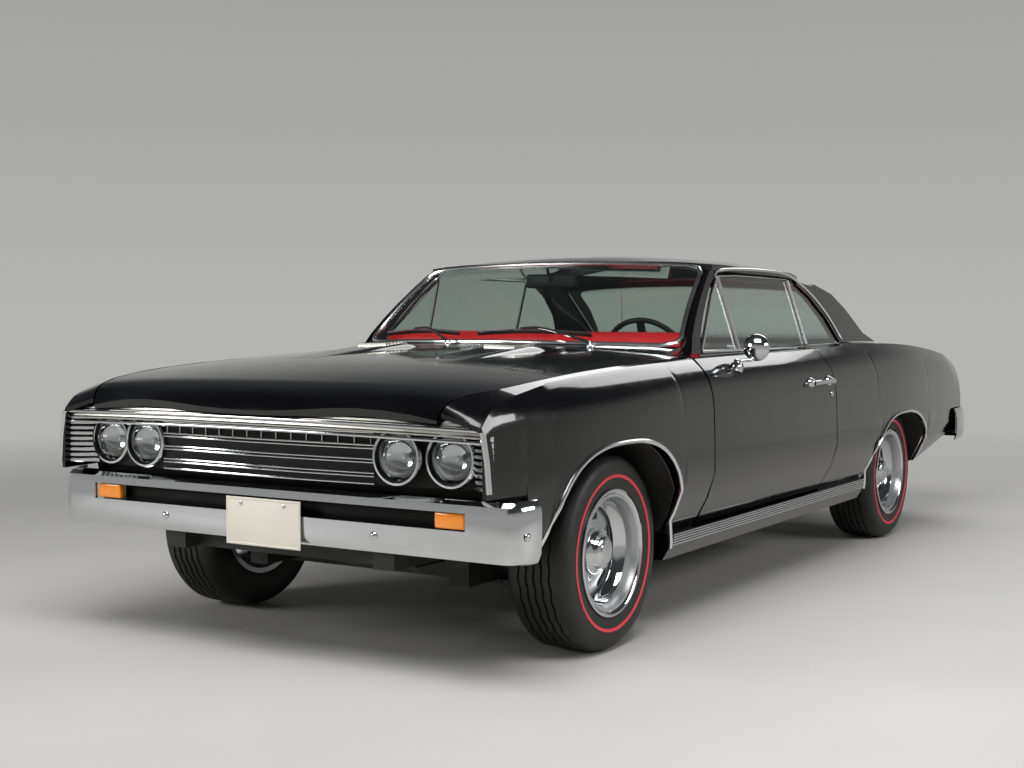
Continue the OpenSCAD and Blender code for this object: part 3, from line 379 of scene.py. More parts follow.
def block(bm, low, high, soft=2, segments=2):
    """A box between two corners with its edges rounded by soft mm."""
    size = high - low
    made = bmesh.ops.create_cube(bm, size=1, matrix=Matrix.Translation((low + high) / 2)
                                 @ Matrix.Diagonal((*size, 1)))["verts"]
    edges = list({e for v in made for e in v.link_edges})
    bmesh.ops.bevel(bm, geom=edges, offset=soft * MM, offset_type="OFFSET", segments=segments,
                    profile=0.5, affect="EDGES", material=-1, clamp_overlap=True)


def round_bar(n, r, squash=1.0):
    """The outline of a round or oval bar with n sides."""
    return [(r * math.cos(math.tau * i / n), r * squash * math.sin(math.tau * i / n)) for i in range(n)]


def both_sides(bm):
    """Adds the mirror image across the car's middle."""
    twin = bmesh.ops.duplicate(bm, geom=bm.verts[:] + bm.edges[:] + bm.faces[:])["geom"]
    bmesh.ops.scale(bm, vec=(-1, 1, 1), verts=[g for g in twin if isinstance(g, bmesh.types.BMVert)])


def piece(name, bm, body, material, crease=35):
    """Closes the mesh, faces it outwards and hangs it on its body."""
    bmesh.ops.remove_doubles(bm, verts=bm.verts[:], dist=0.00002)
    bmesh.ops.recalc_face_normals(bm, faces=bm.faces[:])
    mesh = bpy.data.meshes.new(name)
    bm.to_mesh(mesh)
    bm.free()
    mesh.shade_smooth()
    mesh.set_sharp_from_angle(angle=math.radians(crease))
    mesh.materials.append(material)
    made = bpy.data.objects.new(name, mesh)
    scene.collection.objects.link(made)
    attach(made, body)
    print(name, "on", body, len(mesh.polygons), "faces")
    return made


def skin(*names):
    """The surface of some CAD nodes, for rays to hit."""
    bm = bmesh.new()
    for name in names:
        bm.from_mesh(nodes[name].data)
    found = BVHTree.FromBMesh(bm)
    bm.free()
    return found


def glide(points, count):
    """A smooth line through points, as count places."""
    line = []
    for k in range(count):
        u = k / (count - 1) * (len(points) - 1)
        i = min(int(u), len(points) - 2)
        t = u - i
        a, b = points[max(i - 1, 0)], points[i]
        c, d = points[i + 1], points[min(i + 2, len(points) - 1)]
        line.append(0.5 * (2 * b + (c - a) * t + (2 * a - 5 * b + 4 * c - d) * t * t
                           + (3 * b - 3 * c + d - a) * t ** 3))
    return line


print("trim tools ready")

# %% [markdown]
# ## Wheels and tyres
# The wheel is a pressed steel disc with five slots, a wide polished trim ring round it
# and a domed cap over the hub. The tyre has a narrow red ring in its sidewall. Its
# tread is six ribs parted by five grooves that wave from side to side.

# %% Tyre, red ring, trim ring and cap
rim = (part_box("wheel_rear_left")[1].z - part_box("wheel_rear_left")[0].z) / 2 / MM - 11
tyre_r = (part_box("tyre_rear_left")[1].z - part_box("tyre_rear_left")[0].z) / 2 / MM
groove = [(-58, -54), (-30, -25), (-2.5, 2.5), (25, 30), (54, 58)]
tread = [(tyre_r - 3, -84)]
for a, b in groove:
    tread += [(tyre_r - abs(a) * 0.012, a - 2), (tyre_r - 8, a), (tyre_r - 8, b),
              (tyre_r - abs(b) * 0.012, b + 2)]
tread += [(tyre_r - 3, 84)]
wall = [(rim + 1, 99), (rim + 8, 104), (rim + 20, 107), (rim + 42, 113), (rim + 66, 115.5), (rim + 92, 114),
        (tyre_r - 24, 110), (tyre_r - 17, 104), (tyre_r - 10, 97)]
section = [(r, -x) for r, x in wall] + tread + wall[::-1] + [(rim + 1, 60), (rim + 1, -60), (rim + 1, -99)]
line_r = rim + 61
for end in ("front", "rear"):
    for side, way in (("left", 1), ("right", -1)):
        spot = f"{end}_{side}"
        low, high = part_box("tyre_" + spot)
        hub = (low + high) / 2
        axis = Vector((way, 0, 0))
        bm = bmesh.new()
        turned(bm, section, hub, axis, 120)
        for v in bm.verts:
            flat = Vector((0, v.co.y - hub.y, v.co.z - hub.z))
            if flat.length > (tyre_r - 9) * MM and abs(v.co.x - hub.x) < 0.062:
                swing = math.atan2(flat.z, flat.y)
                v.co.x += 0.0028 * math.sin(swing * 30)
        tyre = piece("tyre_tread_" + spot, bm, "wheel_" + spot, rubber)
        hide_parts("tyre_" + spot)
        bm = bmesh.new()
        turned(bm, [(line_r - 6, 113), (line_r - 5, 116.2), (line_r + 5, 116.8), (line_r + 6, 114.2)],
               hub, axis, 96)
        piece("red_ring_" + spot, bm, "wheel_" + spot, red_rubber)
        bm = bmesh.new()
        turned(bm, [(rim + 16, 106), (rim + 19, 109), (rim + 18, 113), (rim + 11, 114.5), (rim + 4, 111),
                    (rim - 3, 103), (rim - 9, 86), (rim - 16, 62), (rim - 28, 42), (rim - 40, 33),
                    (rim - 41, 30), (rim - 22, 38), (rim - 13, 58), (rim - 5, 86), (rim + 2, 104),
                    (rim + 16, 106)],
               hub, axis, 96)
        turned(bm, [(74, 42), (78, 44), (77, 50), (70, 58), (62, 62), (58, 66), (56, 75), (50, 81), (38, 85),
                    (36, 88), (20, 91), (0, 92)], hub, axis, 72)
        for k in range(5):
            swing = math.tau * (k + 0.5) / 5
            seat = hub + Vector((way * 0.026, 0.092 * math.cos(swing), 0.092 * math.sin(swing)))
            turned(bm, [(11, 0), (11, 12), (8, 17), (5, 18), (0, 18)], seat, axis, 6)
        piece("wheel_trim_" + spot, bm, "wheel_" + spot, plate)

# %% [markdown]
# ## Lamps
# Four round sealed lamps sit in pairs. Each is a bright bowl behind a clear lens with a
# thin black seal, held by a plated bezel. They stand in for the plain lamp solids. The turn signals are amber
# mouldings in the bumper's slot, and the tail lamps are red ones with plated frames.

# %% Headlamps


def grille_y(x):
    """Where the grille's face stands at x, in mm."""
    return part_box("radiator")[0].y / MM - 172 + 42 * (x / 700) ** 2


lamp_z = (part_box("grille")[0].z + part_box("grille")[1].z) / 2 / MM + 0.5
print("grille face", round(grille_y(0)), "lamp height", round(lamp_z))
bezels, seals, bowls, lenses = bmesh.new(), bmesh.new(), bmesh.new(), bmesh.new()
forward = Vector((0, -1, 0))
for x in (-699, -518, 518, 699):
    seat = at(x, grille_y(x), lamp_z)
    turned(bezels, [(76, -4), (87, -2), (88.5, 8), (88, 16), (84.5, 22), (78, 23), (74, 15), (71, 2), (76, -4)],
           seat, forward, 64)
    turned(seals, [(72, 8), (74.5, 15.5), (76.5, 19.5), (75.6, 20.5), (73, 17), (70.5, 9), (72, 8)],
           seat, forward, 64)
    turned(bowls, [(71, 1), (67, -8), (58, -23), (44, -36), (26, -44), (0, -47), (0, -49), (28, -46),
                   (47, -37), (61, -24), (70, -8), (73, 1), (71, 1)], seat, forward, 48)
    turned(bowls, [(0, -18), (8, -19), (10, -26), (9, -36), (5, -44)], seat, forward, 20)
    turned(lenses, [(0, 16), (22, 15.4), (42, 13.2), (58, 9.6), (70, 4), (70, 1), (58, 6.4), (42, 10),
                    (22, 12.2), (0, 12.8)], seat, forward, 64)
bezel = piece("headlamp_bezels", bezels, "body", plate)
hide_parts("lamps")
piece("headlamp_seals", seals, "body", black_plastic)
piece("headlamp_bowls", bowls, "body", plate)
piece("headlamp_lenses", lenses, "body", lens_glass)

# %% Signals and tail lamps
bm = bmesh.new()
bar_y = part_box("bumpers")[0].y / MM
block(bm, at(648, bar_y + 6, 482), at(752, bar_y + 30, 529), 5, 3)
both_sides(bm)
piece("turn_signal_lenses", bm, "body", amber)
bm = bmesh.new()
block(bm, at(646, bar_y + 30, 480), at(754, bar_y + 38, 531), 2)
both_sides(bm)
piece("turn_signal_cans", bm, "body", plate)
tail_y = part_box("tail_panel")[1].y / MM
bm = bmesh.new()
block(bm, at(704, tail_y + 4, 628), at(856, tail_y + 15, 750), 5, 3)
both_sides(bm)
piece("tail_lamp_lenses", bm, "body", ruby)
bm = bmesh.new()
ring = [at(700, tail_y, 622), at(860, tail_y, 622), at(860, tail_y, 756), at(700, tail_y, 756)]
for a, b in zip(ring, ring[1:] + ring[:1]):
    sweep(bm, [a, b], Vector((0, 1, 0)), [(-6, 0), (-6, 14), (0, 18), (6, 14), (6, 0)])
block(bm, at(700, tail_y + 0.5, 622), at(860, tail_y + 3.5, 756), 1)
both_sides(bm)
piece("tail_lamp_frames", bm, "body", plate)

# %% [markdown]
# ## Grille and header
# Thin plated bars cross a black grille in pairs, with upright dividers in the top row.
# A satin header runs above them under the hood. Short ribs fill each corner beside the
# outer lamps, and an upright strip closes them.

# %% Grille bars
fender_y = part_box("fenders")[0].y / MM
bm = bmesh.new()
for z, r in ((755, 4.5), (716, 3.6), (706, 3.6), (674, 3.6), (664, 3.6), (632, 3.6), (622, 3.6), (600, 4)):
    line = [at(x, grille_y(x) - 6, z) for x in range(-434, 435, 62)]
    sweep(bm, line, forward, round_bar(8, r))
for k in range(-7, 8):
    x = 60 * k
    sweep(bm, [at(x, grille_y(x) - 4, 718), at(x, grille_y(x) - 4, 753)], forward, round_bar(6, 1.6))
piece("grille_bars", bm, "body", plate)
bm = bmesh.new()
for k in range(9):
    z = 606 + 18.5 * k
    sweep(bm, [at(778, grille_y(780) - 8, z), at(802, grille_y(780) - 34, z), at(868, grille_y(846) - 72, z)],
          forward, [(-7.5, -4), (-7.5, 2), (-4, 8), (4, 8), (7.5, 2), (7.5, -4)])
sweep(bm, [at(852, fender_y - 1, 774), at(866, fender_y - 1, 690), at(874, fender_y - 1, 600)], forward,
      [(-8, -6), (-8, 2), (-3, 6), (3, 6), (8, 2), (8, -6)])
both_sides(bm)
piece("corner_ribs", bm, "body", stainless)

# %% Header
front_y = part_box("hood")[0].y / MM
header = []
for k in range(-20, 21):
    x = 840 * k / 20
    bow = front_y + 34 * (abs(x) / 700) ** 2 if abs(x) < 700 else front_y + 34 + (abs(x) - 700) * 0.11
    header.append(at(x, bow + 12, 778 - 12 * (abs(x) / 840) ** 2))
bm = bmesh.new()
sweep(bm, header, forward, [(-10, -60), (-34, -58), (-32, -20), (-26, -14), (-20, -13), (-16, -7), (4, -2),
                            (8, 3), (12, 3), (14, -2), (12, -8), (8, -12), (-6, -20)])
piece("header_moulding", bm, "body", satin)
bm = bmesh.new()
sweep(bm, [p + at(0, -3, -24) for p in header], forward, round_bar(10, 5, 0.8))
sweep(bm, [p + at(0, -9, 11) for p in header], forward, round_bar(10, 5, 0.8))
piece("header_beads", bm, "body", plate)

# %% [markdown]
# ## Front bumper fittings
# Round-headed bolts hold both bumpers, and a blank plate hangs in the front one's middle.

# %% Bolts, plate and slot backing
plate_half = 153
bumper = skin("bumpers")
bm = bmesh.new()
for x in (-430, 430):
    seat = bumper.ray_cast(at(x, bar_y - 60, 442), Vector((0, 1, 0)))[0]
    turned(bm, [(13, -2), (13, 2), (10, 6), (5, 8.5), (0, 9)], seat, forward, 24)
for side in (-1, 1):
    seat = bumper.ray_cast(at(side * 1100, -2345, 470), Vector((-side, 0, 0)))[0]
    turned(bm, [(13, -2), (13, 2), (10, 5), (5, 7), (0, 7.5)], seat, Vector((side, 0, 0)), 24)
    seat = bumper.ray_cast(at(side * 520, 2700, 455), Vector((0, -1, 0)))[0]
    turned(bm, [(13, -2), (13, 2), (10, 6), (5, 8.5), (0, 9)], seat, Vector((0, 1, 0)), 24)
piece("bumper_bolts", bm, "body", plate)
bm = bmesh.new()
block(bm, at(-plate_half, bar_y - 9, 374), at(plate_half, bar_y - 6, 527), 1)
rim_line = [(-148, 379), (148, 379), (148, 522), (-148, 522)]
for a, b in zip(rim_line, rim_line[1:] + rim_line[:1]):
    sweep(bm, [at(a[0], bar_y - 9, a[1]), at(b[0], bar_y - 9, b[1])], forward, round_bar(8, 3, 0.6))
piece("blank_plate", bm, "body", cream)
bm = bmesh.new()
for side in (-1, 1):
    turned(bm, [(6, 0), (6, 3), (3, 4), (0, 4)], at(side * 89, bar_y - 9, 508), forward, 16)
    block(bm, at(side * 89 - 8, bar_y - 6, 440), at(side * 89 + 8, bar_y + 14, 456), 2)
piece("plate_screws", bm, "body", plate)
bm = bmesh.new()
block(bm, at(-760, bar_y + 44, 474), at(760, bar_y + 50, 537), 1)
piece("bumper_slot_backing", bm, "body", black_plastic)

# %% [markdown]
# ## Mouldings along the body
# Each moulding follows an edge of the body: round the wheel openings, along the
# sills, over the side windows, and round both screens.

# %% Wheel opening mouldings
sides = skin("fenders", "quarter_panels", "door_left", "door_right", "rocker_panels")
arch_section = [(-7, -3), (-7, 3), (-3, 7), (3, 7), (7, 3), (7, -3)]
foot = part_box("rocker_panels")
arch_z = 322


def from_side(tree, y, z, start=1300):
    """The panel's outer face at a station and height on the left side."""
    return tree.ray_cast(at(start, y, z), Vector((-1, 0, 0)))[0]


bm = bmesh.new()
for name, rise in (("front", 370), ("rear", 302)):
    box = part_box(f"tyre_{name}_left")
    hub_y = (box[0].y + box[1].y) / 2 / MM
    line = []
    for k in range(41):
        t = math.pi * (0.035 + 0.93 * k / 40)
        c, s = math.cos(t), math.sin(t)
        y = hub_y - 50 - 427 * math.copysign(abs(c) ** (2 / 2.6), c)
        z = arch_z + (rise + 6) * s ** (2 / 2.6)
        seat = from_side(sides, y, z)
        if seat is None or seat.x < 0.8:
            continue
        line.append(seat)
    if name == "front":
        line += [at(foot[1].x / MM, foot[0].y / MM - 4, 316),
                 at(foot[1].x / MM - 3, foot[0].y / MM - 2, 292)]
    else:
        line = [at(foot[1].x / MM - 3, foot[1].y / MM + 2, 292),
                at(foot[1].x / MM, foot[1].y / MM + 4, 316)] + line
    sweep(bm, line, Vector((1, 0, 0)), arch_section)
both_sides(bm)
piece("wheel_opening_mouldings", bm, "body", stainless)

# %% Sill mouldings
low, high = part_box("rocker_panels")
bm = bmesh.new()
for k in range(5):
    z = 302 + 8.6 * k
    line = [at(high.x / MM, low.y / MM + 4 + 2 * k, z), at(high.x / MM, 0, z),
            at(high.x / MM, high.y / MM - 6, z)]
    sweep(bm, line, Vector((1, 0, 0)), [(-3.2, -6), (-3.2, 3), (-1.4, 6), (1.4, 6), (3.2, 3), (3.2, -6)])
both_sides(bm)
piece("sill_mouldings", bm, "body", plate, crease=20)

# %% Drip rails
glass_x, glass_lean, belt_z = 765, 0.292, 950


def glass_side(z):
    """How far out the side glass stands at height z, in mm."""
    return glass_x - glass_lean * (z - belt_z)


roofline = skin("roof_panel", "roof_pillars")
rail = glide([Vector(p) for p in ((-468, 1262), (-425, 1283), (-250, 1290), (-20, 1291), (200, 1285),
                                  (330, 1270), (440, 1241), (560, 1186), (680, 1104), (765, 1012),
                                  (786, 985))], 60)
line = []
for y, z in rail:
    seat = from_side(roofline, y, z)
    line.append((seat if seat else at(glass_side(z) + 1, y, z)) + at(2, 0, 0))
for _ in range(3):
    line = [line[0]] + [(a + b * 2 + c) / 4 for a, b, c in zip(line, line[1:], line[2:])] + [line[-1]]
bm = bmesh.new()
sweep(bm, line, Vector((1, 0, 0.2)), [(-6, -6), (-6, 2), (-3, 5), (3, 5), (6, 2), (6, -6)])
both_sides(bm)
piece("drip_rails", bm, "body", stainless)

# %% Screen surrounds


def screen(w, h):
    """The windscreen at w across, from -1 to 1, and h up, from 0 to 1."""
    base = Vector((w * 726, -894 - 142 * (1 - abs(w) ** 2.4), 993 - 10 * w * w))
    top = Vector((w * 648, -510 - 70 * (1 - w * w), 1318 - 20 * w * w))
    return (base.lerp(top, h) + Vector((0, -26 * math.sin(math.pi * h), 0))) * MM


def back_screen(w, h):
    """The rear screen, the same way."""
    base = Vector((w * 716, 1155 - 60 * w * w, 973))
    top = Vector((w * 643, 607, 1274 - 34 * w * w))
    return base.lerp(top, h) * MM


def surround(shape, out, lift):
    """A closed line round a screen with rounded corners."""
    line = [shape(w / 10, 0.01) for w in range(-9, 10)] + [shape(0.975, 0.04)]
    line += [shape(1, h / 10) for h in range(1, 10)] + [shape(0.975, 0.96)]
    line += [shape(w / 10, 0.985) for w in range(9, -10, -1)] + [shape(-0.975, 0.96)]
    line += [shape(-1, h / 10) for h in range(9, 0, -1)] + [shape(-0.975, 0.04)]
    return [p + out * lift * MM for p in line]


strip = [(-9, -3), (-9, 3), (-4, 7), (4, 7), (9, 3), (9, -3)]
bm = bmesh.new()
screen_out = Vector((0, -0.65, 0.76))
sweep(bm, surround(screen, screen_out, 3), screen_out, strip, closed=True)
piece("windscreen_surround", bm, "body", stainless)
bm = bmesh.new()
out = Vector((0, 0.48, 0.88))
sweep(bm, surround(back_screen, out, 2), out, strip, closed=True)
piece("rear_screen_surround", bm, "body", stainless)

# %% [markdown]
# ## Side window trim
# The vent window's frame and the strip at the foot of the glass open with the door.

# %% Vent frames and belt strips


def pane(y, z, out=4):
    """A place on the left side glass, pushed out."""
    return at(glass_side(z) + out, y, z)


thin = [(-4, -4), (-4, 3), (-2, 5), (2, 5), (4, 3), (4, -4)]
frame_strip = [(-7, -5), (-7, 3), (-4, 6), (4, 6), (7, 3), (7, -5)]
outward = Vector((1, 0, 0.29))
for side, name in ((1, "left"), (-1, "right")):
    bm = bmesh.new()
    sweep(bm, [pane(-463, 1252), pane(-560, 1180), pane(-782, 968)], outward, frame_strip)
    sweep(bm, [pane(-452, 1256), pane(-436, 1110), pane(-424, 962)], outward, frame_strip)
    sweep(bm, [pane(-470, 1254), pane(-446, 1254)], outward, frame_strip)
    sweep(bm, [pane(-786, 962), pane(-600, 961), pane(-418, 961)], outward, frame_strip)
    sweep(bm, [pane(-418, 958, 6), pane(-100, 958, 6), pane(212, 958, 6)], outward, thin)
    sweep(bm, [pane(299, 1254), pane(320, 972)], outward, thin)
    sweep(bm, [pane(-440, 1259), pane(-260, 1264), pane(296, 1259)], outward,
          [(a * 0.6, b * 0.5) for a, b in thin])
    block(bm, at(752, -520, 972), at(760, -470, 984), 3)
    if side < 0:
        bmesh.ops.scale(bm, vec=(-1, 1, 1), verts=bm.verts[:])
    piece("window_trim_" + name, bm, "door_" + name, stainless)
bm = bmesh.new()
sweep(bm, [pane(311, 1254), pane(334, 974)], outward, thin)
sweep(bm, [pane(345, 966, 8), pane(560, 966, 8), pane(735, 968, 8)], outward, thin)
both_sides(bm)
piece("quarter_window_trim", bm, "body", stainless)

# %% [markdown]
# ## Door furniture
# A pull handle with a button and a lock sits high at each door's rear. The driver's
# door has a round mirror on a bent stem, which stands for the plain mirror solid.

# %% Handles, locks and mirror
for side, name in ((1, "left"), (-1, "right")):
    door = skin("door_" + name)
    bm = bmesh.new()

    def face(y, z, out=0):
        """The door's outer face at a station and height, out mm further."""
        seat = door.ray_cast(at(side * 1300, y, z), Vector((-side, 0, 0)))[0]
        return seat + at(side * out, 0, 0)

    way = Vector((side, 0, 0))
    for y in (-62, 150):
        turned(bm, [(22, -3), (22, 3), (18, 9), (12, 20), (10, 26)], face(y, 820), way, 24)
    grip = glide([face(-74, 820, 24), face(-40, 821, 31), face(40, 822, 33), face(130, 821, 31),
                  face(166, 820, 24)], 17)
    sweep(bm, grip, way, [(-9, -4), (-10, 0), (-8, 4), (0, 6), (8, 4), (10, 0), (9, -4), (0, -6)])
    turned(bm, [(12, -2), (12, 14), (9, 17), (0, 18)], face(182, 818), way, 24)
    turned(bm, [(13, -3), (13, 3), (10, 5), (5, 5), (4, 3.5), (0, 3.5)], face(170, 764), way, 24)
    piece("door_handle_" + name, bm, "door_" + name, plate)

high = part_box("door_mirror")[1]
head = Vector((high.x - 0.052, high.y, high.z - 0.052))
bm = bmesh.new()
turned(bm, [(44, 2), (46, -1), (51, -1), (52, 3), (52, 10), (49, 20), (43, 30), (33, 39), (18, 45), (0, 47)],
       head, forward, 56)
foot = from_side(skin("door_left"), head.y / MM - 60, 908)
stem = glide([foot + at(2, 0, 0), foot + at(14, 4, 22), head + at(-6, -34, -46), head + at(-2, -26, -20)],
             14)
sweep(bm, stem, Vector((1, -1, 0)), round_bar(12, 7))
turned(bm, [(30, -4), (30, 3), (24, 9), (14, 15), (8, 18)], foot, Vector((1, 0, 0.3)), 32)
mirror = piece("door_mirror_head", bm, "door_left", plate)
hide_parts("door_mirror")
bm = bmesh.new()
turned(bm, [(0, -3), (44, -2), (45, 1), (0, 1)], head, forward, 48)
silvered = finish("silvered_mirror_glass", ("#D8DADB", "#E0E2E3"), (0.0, 0.02), 30, 0.0, Metallic=1.0)
piece("door_mirror_glass", bm, "door_left", silvered)

# %% Wipers
bm = bmesh.new()
rubber_bm = bmesh.new()
for w0, w1, pivot in ((-0.84, -0.27, at(-186, -1100, 988)), (-0.14, 0.55, at(432, -1055, 982))):
    blade = [screen(w0 + (w1 - w0) * k / 10, 0.085 + 0.03 * math.sin(math.pi * k / 10)) + screen_out * 0.020
             for k in range(11)]
    sweep(bm, blade, screen_out, [(-4, -3), (-4, 3), (0, 6), (4, 3), (4, -3)])
    sweep(rubber_bm, [p - screen_out * 0.009 for p in blade], screen_out, [(-3, -7), (-3, 6), (3, 6), (3, -7)])
    arm = glide([pivot + at(0, 0, 14), pivot + at(-40, 20, 26), blade[6] + screen_out * 0.010,
                 blade[4] + screen_out * 0.008], 12)
    sweep(bm, arm, screen_out, [(-5, -2), (-5, 2), (0, 4), (5, 2), (5, -2)])
    turned(bm, [(16, -16), (16, 6), (13, 12), (8, 17), (0, 18)], pivot, Vector((0, -0.2, 1)), 24)
piece("wipers", bm, "body", plate)
piece("wiper_rubbers", rubber_bm, "body", rubber)

# %% [markdown]
# ## Hood bulges
# Two long blisters rise toward the rear of the hood, each with a finned dummy vent.

# %% Blisters and fins
hood = skin("hood")


def on_hood(x, y, lift=0.0):
    """A place on the hood, lifted by lift mm."""
    return hood.ray_cast(at(x, y, 1500), Vector((0, 0, -1)))[0] + at(0, 0, lift)


blister_x = 285
bm = bmesh.new()
fins = bmesh.new()
for side in (-1, 1):
    grid = bmesh.ops.create_grid(bm, x_segments=18, y_segments=30, size=1)["verts"]
    for v in grid:
        u, t = v.co.x, v.co.y
        half = 118 - 26 * (1 - t) / 2
        edge = max(0.0, 1 - abs(u) ** 6) * max(0.0, 1 - max(0.0, t) ** 14)
        rise = (0.06 + 0.94 * ((1 + t) / 2) ** 1.2) * edge
        v.co = on_hood(side * blister_x + u * half, -1610 + t * 300, 24 * rise - 1.5)
    for k in range(7):
        y = -1330 - 22 * k
        row = [on_hood(side * blister_x + 66 * (i / 4 - 1), y, 21) for i in range(9)]
        sweep(fins, row, Vector((0, 0, 1)), [(-3, -6), (-3, 2), (-1, 4), (1, 4), (3, 2), (3, -6)])
piece("hood_blisters", bm, "hood", lacquer, crease=60)
piece("hood_vent_fins", fins, "hood", satin)

# %% [markdown]
# ## Cabin
# The cabin is red: a padded dash top, grained vinyl seats with sewn pleats, and door
# cards. Overhead it is black, which keeps the inside dark behind the glass. A seat pad
# could be blown up by a cloth simulation. Here it is a finely cut box whose points a
# formula moves into a crown with sewn channels, because it is seen only through glass.

# %% Padding


def padding(bm, low, high, crown, pleats, face):
    """A crowned box with sewn pleats on one face; face is the axis it points along."""
    size = high - low
    middle = (high + low) / 2
    old = set(bm.verts)
    made = bmesh.ops.create_cube(bm, size=2)["verts"]
    edges = list({e for v in made for e in v.link_edges})
    bmesh.ops.subdivide_edges(bm, edges=edges, cuts=27, use_grid_fill=True)
    verts = [v for v in bm.verts if v not in old]
    axis, sign = face
    for v in verts:
        c = v.co.copy()
        a, b = [c[i] for i in range(3) if i != axis]
        for i in range(3):
            others = [c[j] for j in range(3) if j != i]
            v.co[i] = c[i] * size[i] / 2 * (1 - 0.05 * sum(o ** 4 for o in others))
        if c[axis] * sign > 0.99:
            dome = (1 - a ** 4) * (1 - b ** 4)
            seam = 0.0
            if pleats and abs(b) < 0.8 and abs(a) < 0.72:
                seam = abs(math.cos(math.pi * pleats * a / 1.44)) ** 0.5 - 1
            v.co[axis] += sign * (crown * dome + 0.010 * seam)
    for v in verts:
        v.co += middle
    return verts


def tip(bm, verts, degrees, pivot):
    """Tilts verts about the car's cross axis."""
    bmesh.ops.rotate(bm, cent=pivot, matrix=Matrix.Rotation(math.radians(degrees), 3, "X"), verts=verts)


bm = bmesh.new()
for side in (-1, 1):
    low, high = (146, -200), (658, 262)
    if side < 0:
        low, high = (-658, -200), (-146, 262)
    padding(bm, at(low[0], low[1], 322), at(high[0], high[1], 446), 0.022, 7, (2, 1))
    back = padding(bm, at(low[0] + 4, 236, 380), at(high[0] - 4, 342, 925), 0.022, 7, (1, -1))
    tip(bm, back, -10.5, at(0, 290, 400))
padding(bm, at(-596, 524, 322), at(596, 880, 492), 0.022, 15, (2, 1))
back = padding(bm, at(-596, 850, 470), at(596, 945, 925), 0.022, 15, (1, -1))
tip(bm, back, -8, at(0, 900, 500))
seats = piece("padded_seats", bm, "body", red_vinyl, crease=180)
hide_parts("seats")
bm = bmesh.new()
for side in (-1, 1):
    block(bm, at(side * 402 - 225, -170, 299), at(side * 402 + 225, 230, 330), 4)
piece("seat_rails", bm, "body", chassis_black)

# %% Dash
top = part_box("dashboard")[1].z / MM
bm = bmesh.new()
pad = [(-1030, 924), (-950, 930), (-856, top - 78), (-812, top - 24), (-762, top - 4), (-716, top + 2),
       (-680, top - 14), (-652, top - 60), (-644, top - 98), (-654, top - 120), (-690, 884), (-1030, 884)]
verts = [bm.verts.new(at(-700, y, z)) for y, z in pad]
front = bm.faces.new(verts)
grown = bmesh.ops.extrude_face_region(bm, geom=[front])["geom"]
bmesh.ops.translate(bm, vec=at(1400, 0, 0), verts=[g for g in grown if isinstance(g, bmesh.types.BMVert)])
long = [e for e in bm.edges if abs(e.verts[0].co.x - e.verts[1].co.x) > 1]
bmesh.ops.subdivide_edges(bm, edges=long, cuts=14)
bmesh.ops.bevel(bm, geom=[e for e in bm.edges if abs(e.verts[0].co.x) > 0.69 and abs(e.verts[1].co.x) > 0.69
                          and abs(e.verts[0].co.x - e.verts[1].co.x) < 0.01],
                offset=0.012, segments=3, profile=0.5, affect="EDGES", material=-1)
dash = piece("padded_dash_top", bm, "body", red_vinyl, crease=40)
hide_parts("dashboard")
bm = bmesh.new()
block(bm, at(-696, -1030, 720), at(696, -690, 874), 14, 3)
piece("dash_panel", bm, "body", black_plastic)
bm = bmesh.new()
back = Vector((0, 1, 0))
for x in (270, 370, 470):
    turned(bm, [(40, -2), (42, 3), (38, 5), (36, 1), (0, 0)], at(x, -690, 806), back, 36)
sweep(bm, [at(-690, -689, 862), at(0, -689, 862), at(690, -689, 862)], back, round_bar(8, 5, 0.5))
sweep(bm, [at(-690, -689, 748), at(0, -689, 748), at(690, -689, 748)], back, round_bar(8, 4, 0.5))
for x in (-60, 0, 60):
    turned(bm, [(9, -1), (9, 10), (6, 13), (0, 13)], at(x, -690, 790), back, 20)
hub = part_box("steering_wheel")
hub_place = (hub[0] + hub[1]) / 2
turned(bm, [(38, 12), (34, 22), (20, 27), (0, 28)], hub_place, Vector((0, 0.929, 0.370)), 36)
piece("dash_brightwork", bm, "body", plate)

# %% Door cards, headlining and inside mirror
door_span, rear_span, card_top = (-1000, 190), (262, 800), 915
cards = ((1, "left", "door_left", door_span), (-1, "right", "door_right", door_span),
         (1, "rear_left", "quarter_panels", rear_span), (-1, "rear_right", "quarter_panels", rear_span))
for side, name, panel, (ahead, behind) in cards:
    in_door = panel != "quarter_panels"
    inner = skin(panel)
    bm = bmesh.new()
    low_z = 400 if in_door else 520
    for v in bmesh.ops.create_grid(bm, x_segments=14, y_segments=10, size=1)["verts"]:
        y = ahead + (behind - ahead) * (v.co.x + 1) / 2
        z = low_z + (card_top - low_z) * (v.co.y + 1) / 2
        seat = inner.ray_cast(at(side * 560, y, z), Vector((side, 0, 0)))[0]
        x = (abs(seat.x) / MM if seat else 860) - 8
        v.co = at(side * min(x, 868), y, z)
    bmesh.ops.smooth_vert(bm, verts=bm.verts[:], factor=0.5, use_axis_x=True)
    bmesh.ops.solidify(bm, geom=bm.faces[:], thickness=0.004)
    if in_door:
        block(bm, at(min(side * 790, side * 850), -420, 640), at(max(side * 790, side * 850), -80, 672), 12, 3)
    piece("door_card_" + name, bm, panel if in_door else "body", red_vinyl)

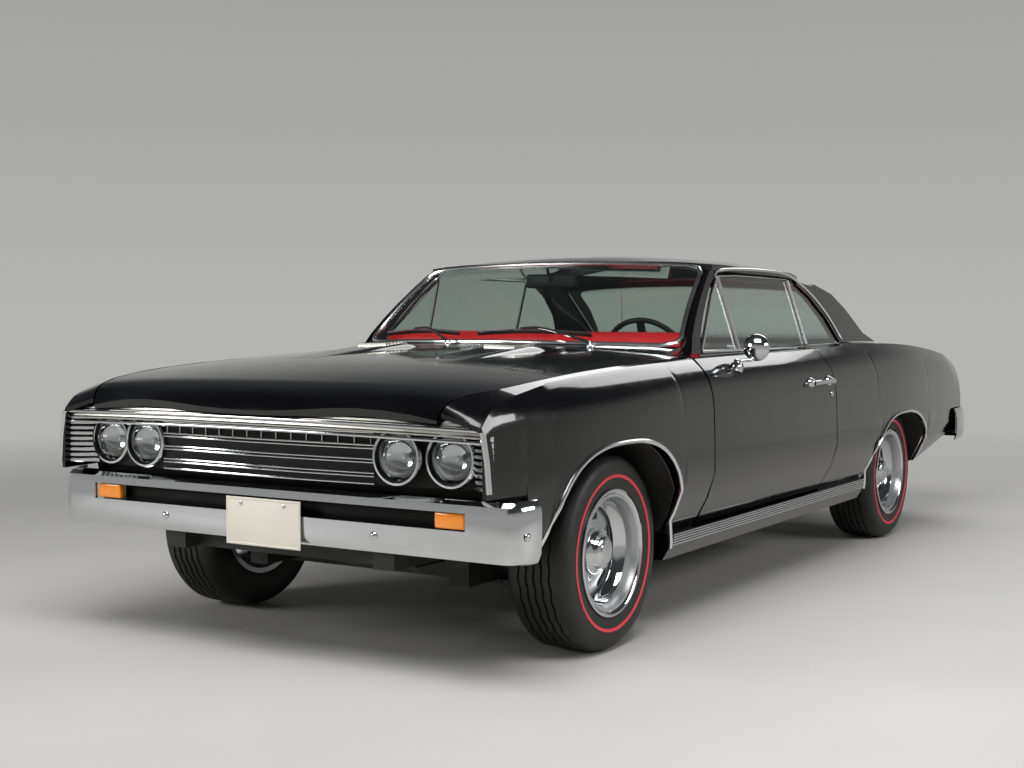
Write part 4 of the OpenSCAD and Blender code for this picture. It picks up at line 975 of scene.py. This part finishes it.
roof = skin("roof_panel")
bm = bmesh.new()
for v in bmesh.ops.create_grid(bm, x_segments=16, y_segments=16, size=1)["verts"]:
    x, y = 610 * v.co.x, 55 + 500 * v.co.y
    seat = roof.ray_cast(at(x, y, 900), Vector((0, 0, 1)))[0]
    v.co = at(x, y, (seat.z / MM if seat else 1250) - 5)
bmesh.ops.solidify(bm, geom=bm.faces[:], thickness=0.003)
piece("headlining", bm, "body", carpet)
bm = bmesh.new()
block(bm, at(-120, -612, 1212), at(120, -594, 1264), 8, 3)
sweep(bm, [at(0, -612, 1240), at(0, -630, 1270), at(0, -640, 1296)], Vector((1, 0, 0)), round_bar(10, 6))
piece("inside_mirror", bm, "body", black_plastic)

# %% [markdown]
# ## Under the hood
# A round air cleaner and two rocker covers dress the plain engine block.

# %% Engine dress
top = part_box("engine")[1].z / MM
bm = bmesh.new()
centre = at(0, -1620, top)
turned(bm, [(0, 36), (30, 36), (150, 30), (172, 26), (176, 18), (176, 14), (168, 8), (166, -6), (90, -8),
            (70, -14), (70, -30)], centre, Vector((0, 0, 1)), 64)
turned(bm, [(0, 50), (8, 49), (10, 42), (10, 36)], centre, Vector((0, 0, 1)), 16)
for side in (-1, 1):
    block(bm, at(side * 200 - 48, -1900, top - 20), at(side * 200 + 48, -1380, top + 12), 12, 3)
piece("air_cleaner_and_covers", bm, "body", plate)

# %% [markdown]
# ## Rear trim
# Two plated strips cross the tail between the lamps, above and below a dark insert. A
# blank plate sits in the middle.

# %% Tail strips, insert and plate
bm = bmesh.new()
back = Vector((0, 1, 0))
for z in (640, 738):
    sweep(bm, [at(x, tail_y + 1, z) for x in (-696, 0, 696)], back,
          [(-6, -2), (-6, 4), (0, 8), (6, 4), (6, -2)])
piece("tail_strips", bm, "body", plate)
bm = bmesh.new()
block(bm, at(-692, tail_y, 650), at(692, tail_y + 3, 728), 1)
piece("tail_panel_insert", bm, "body", black_plastic)
bm = bmesh.new()
block(bm, at(-plate_half, tail_y + 6, 612), at(plate_half, tail_y + 9, 765), 1)
piece("blank_rear_plate", bm, "body", cream)

# %% [markdown]
# The radio aerial is a thin steel mast in a small chrome foot on the right rear
# fender. The foot is a turned shape set down on the fender by a ray. The mast is
# pushed most of the way down, and its three round bars show where it slides.

# %% Aerial
fender_tree = skin("quarter_panels")
spot = fender_tree.ray_cast(at(-800, 1560, 1400), Vector((0, 0, -1)))[0]
bm = bmesh.new()
for radius, low_z, high_z in ((2.8, 8, 160), (2.0, 155, 280), (1.4, 275, 384)):
    sweep(bm, [spot + at(0, 0, low_z), spot + at(0, 0, high_z)], Vector((1, 0, 0)),
          round_bar(8, radius))
piece("aerial_mast", bm, "body", plate)
bm = bmesh.new()
turned(bm, [(0, -4), (19, -4), (19, 1), (15, 5), (7, 8), (5, 22), (0, 24)], spot, Vector((0, 0, 1)), 28)
piece("aerial_foot", bm, "body", plate, crease=30)
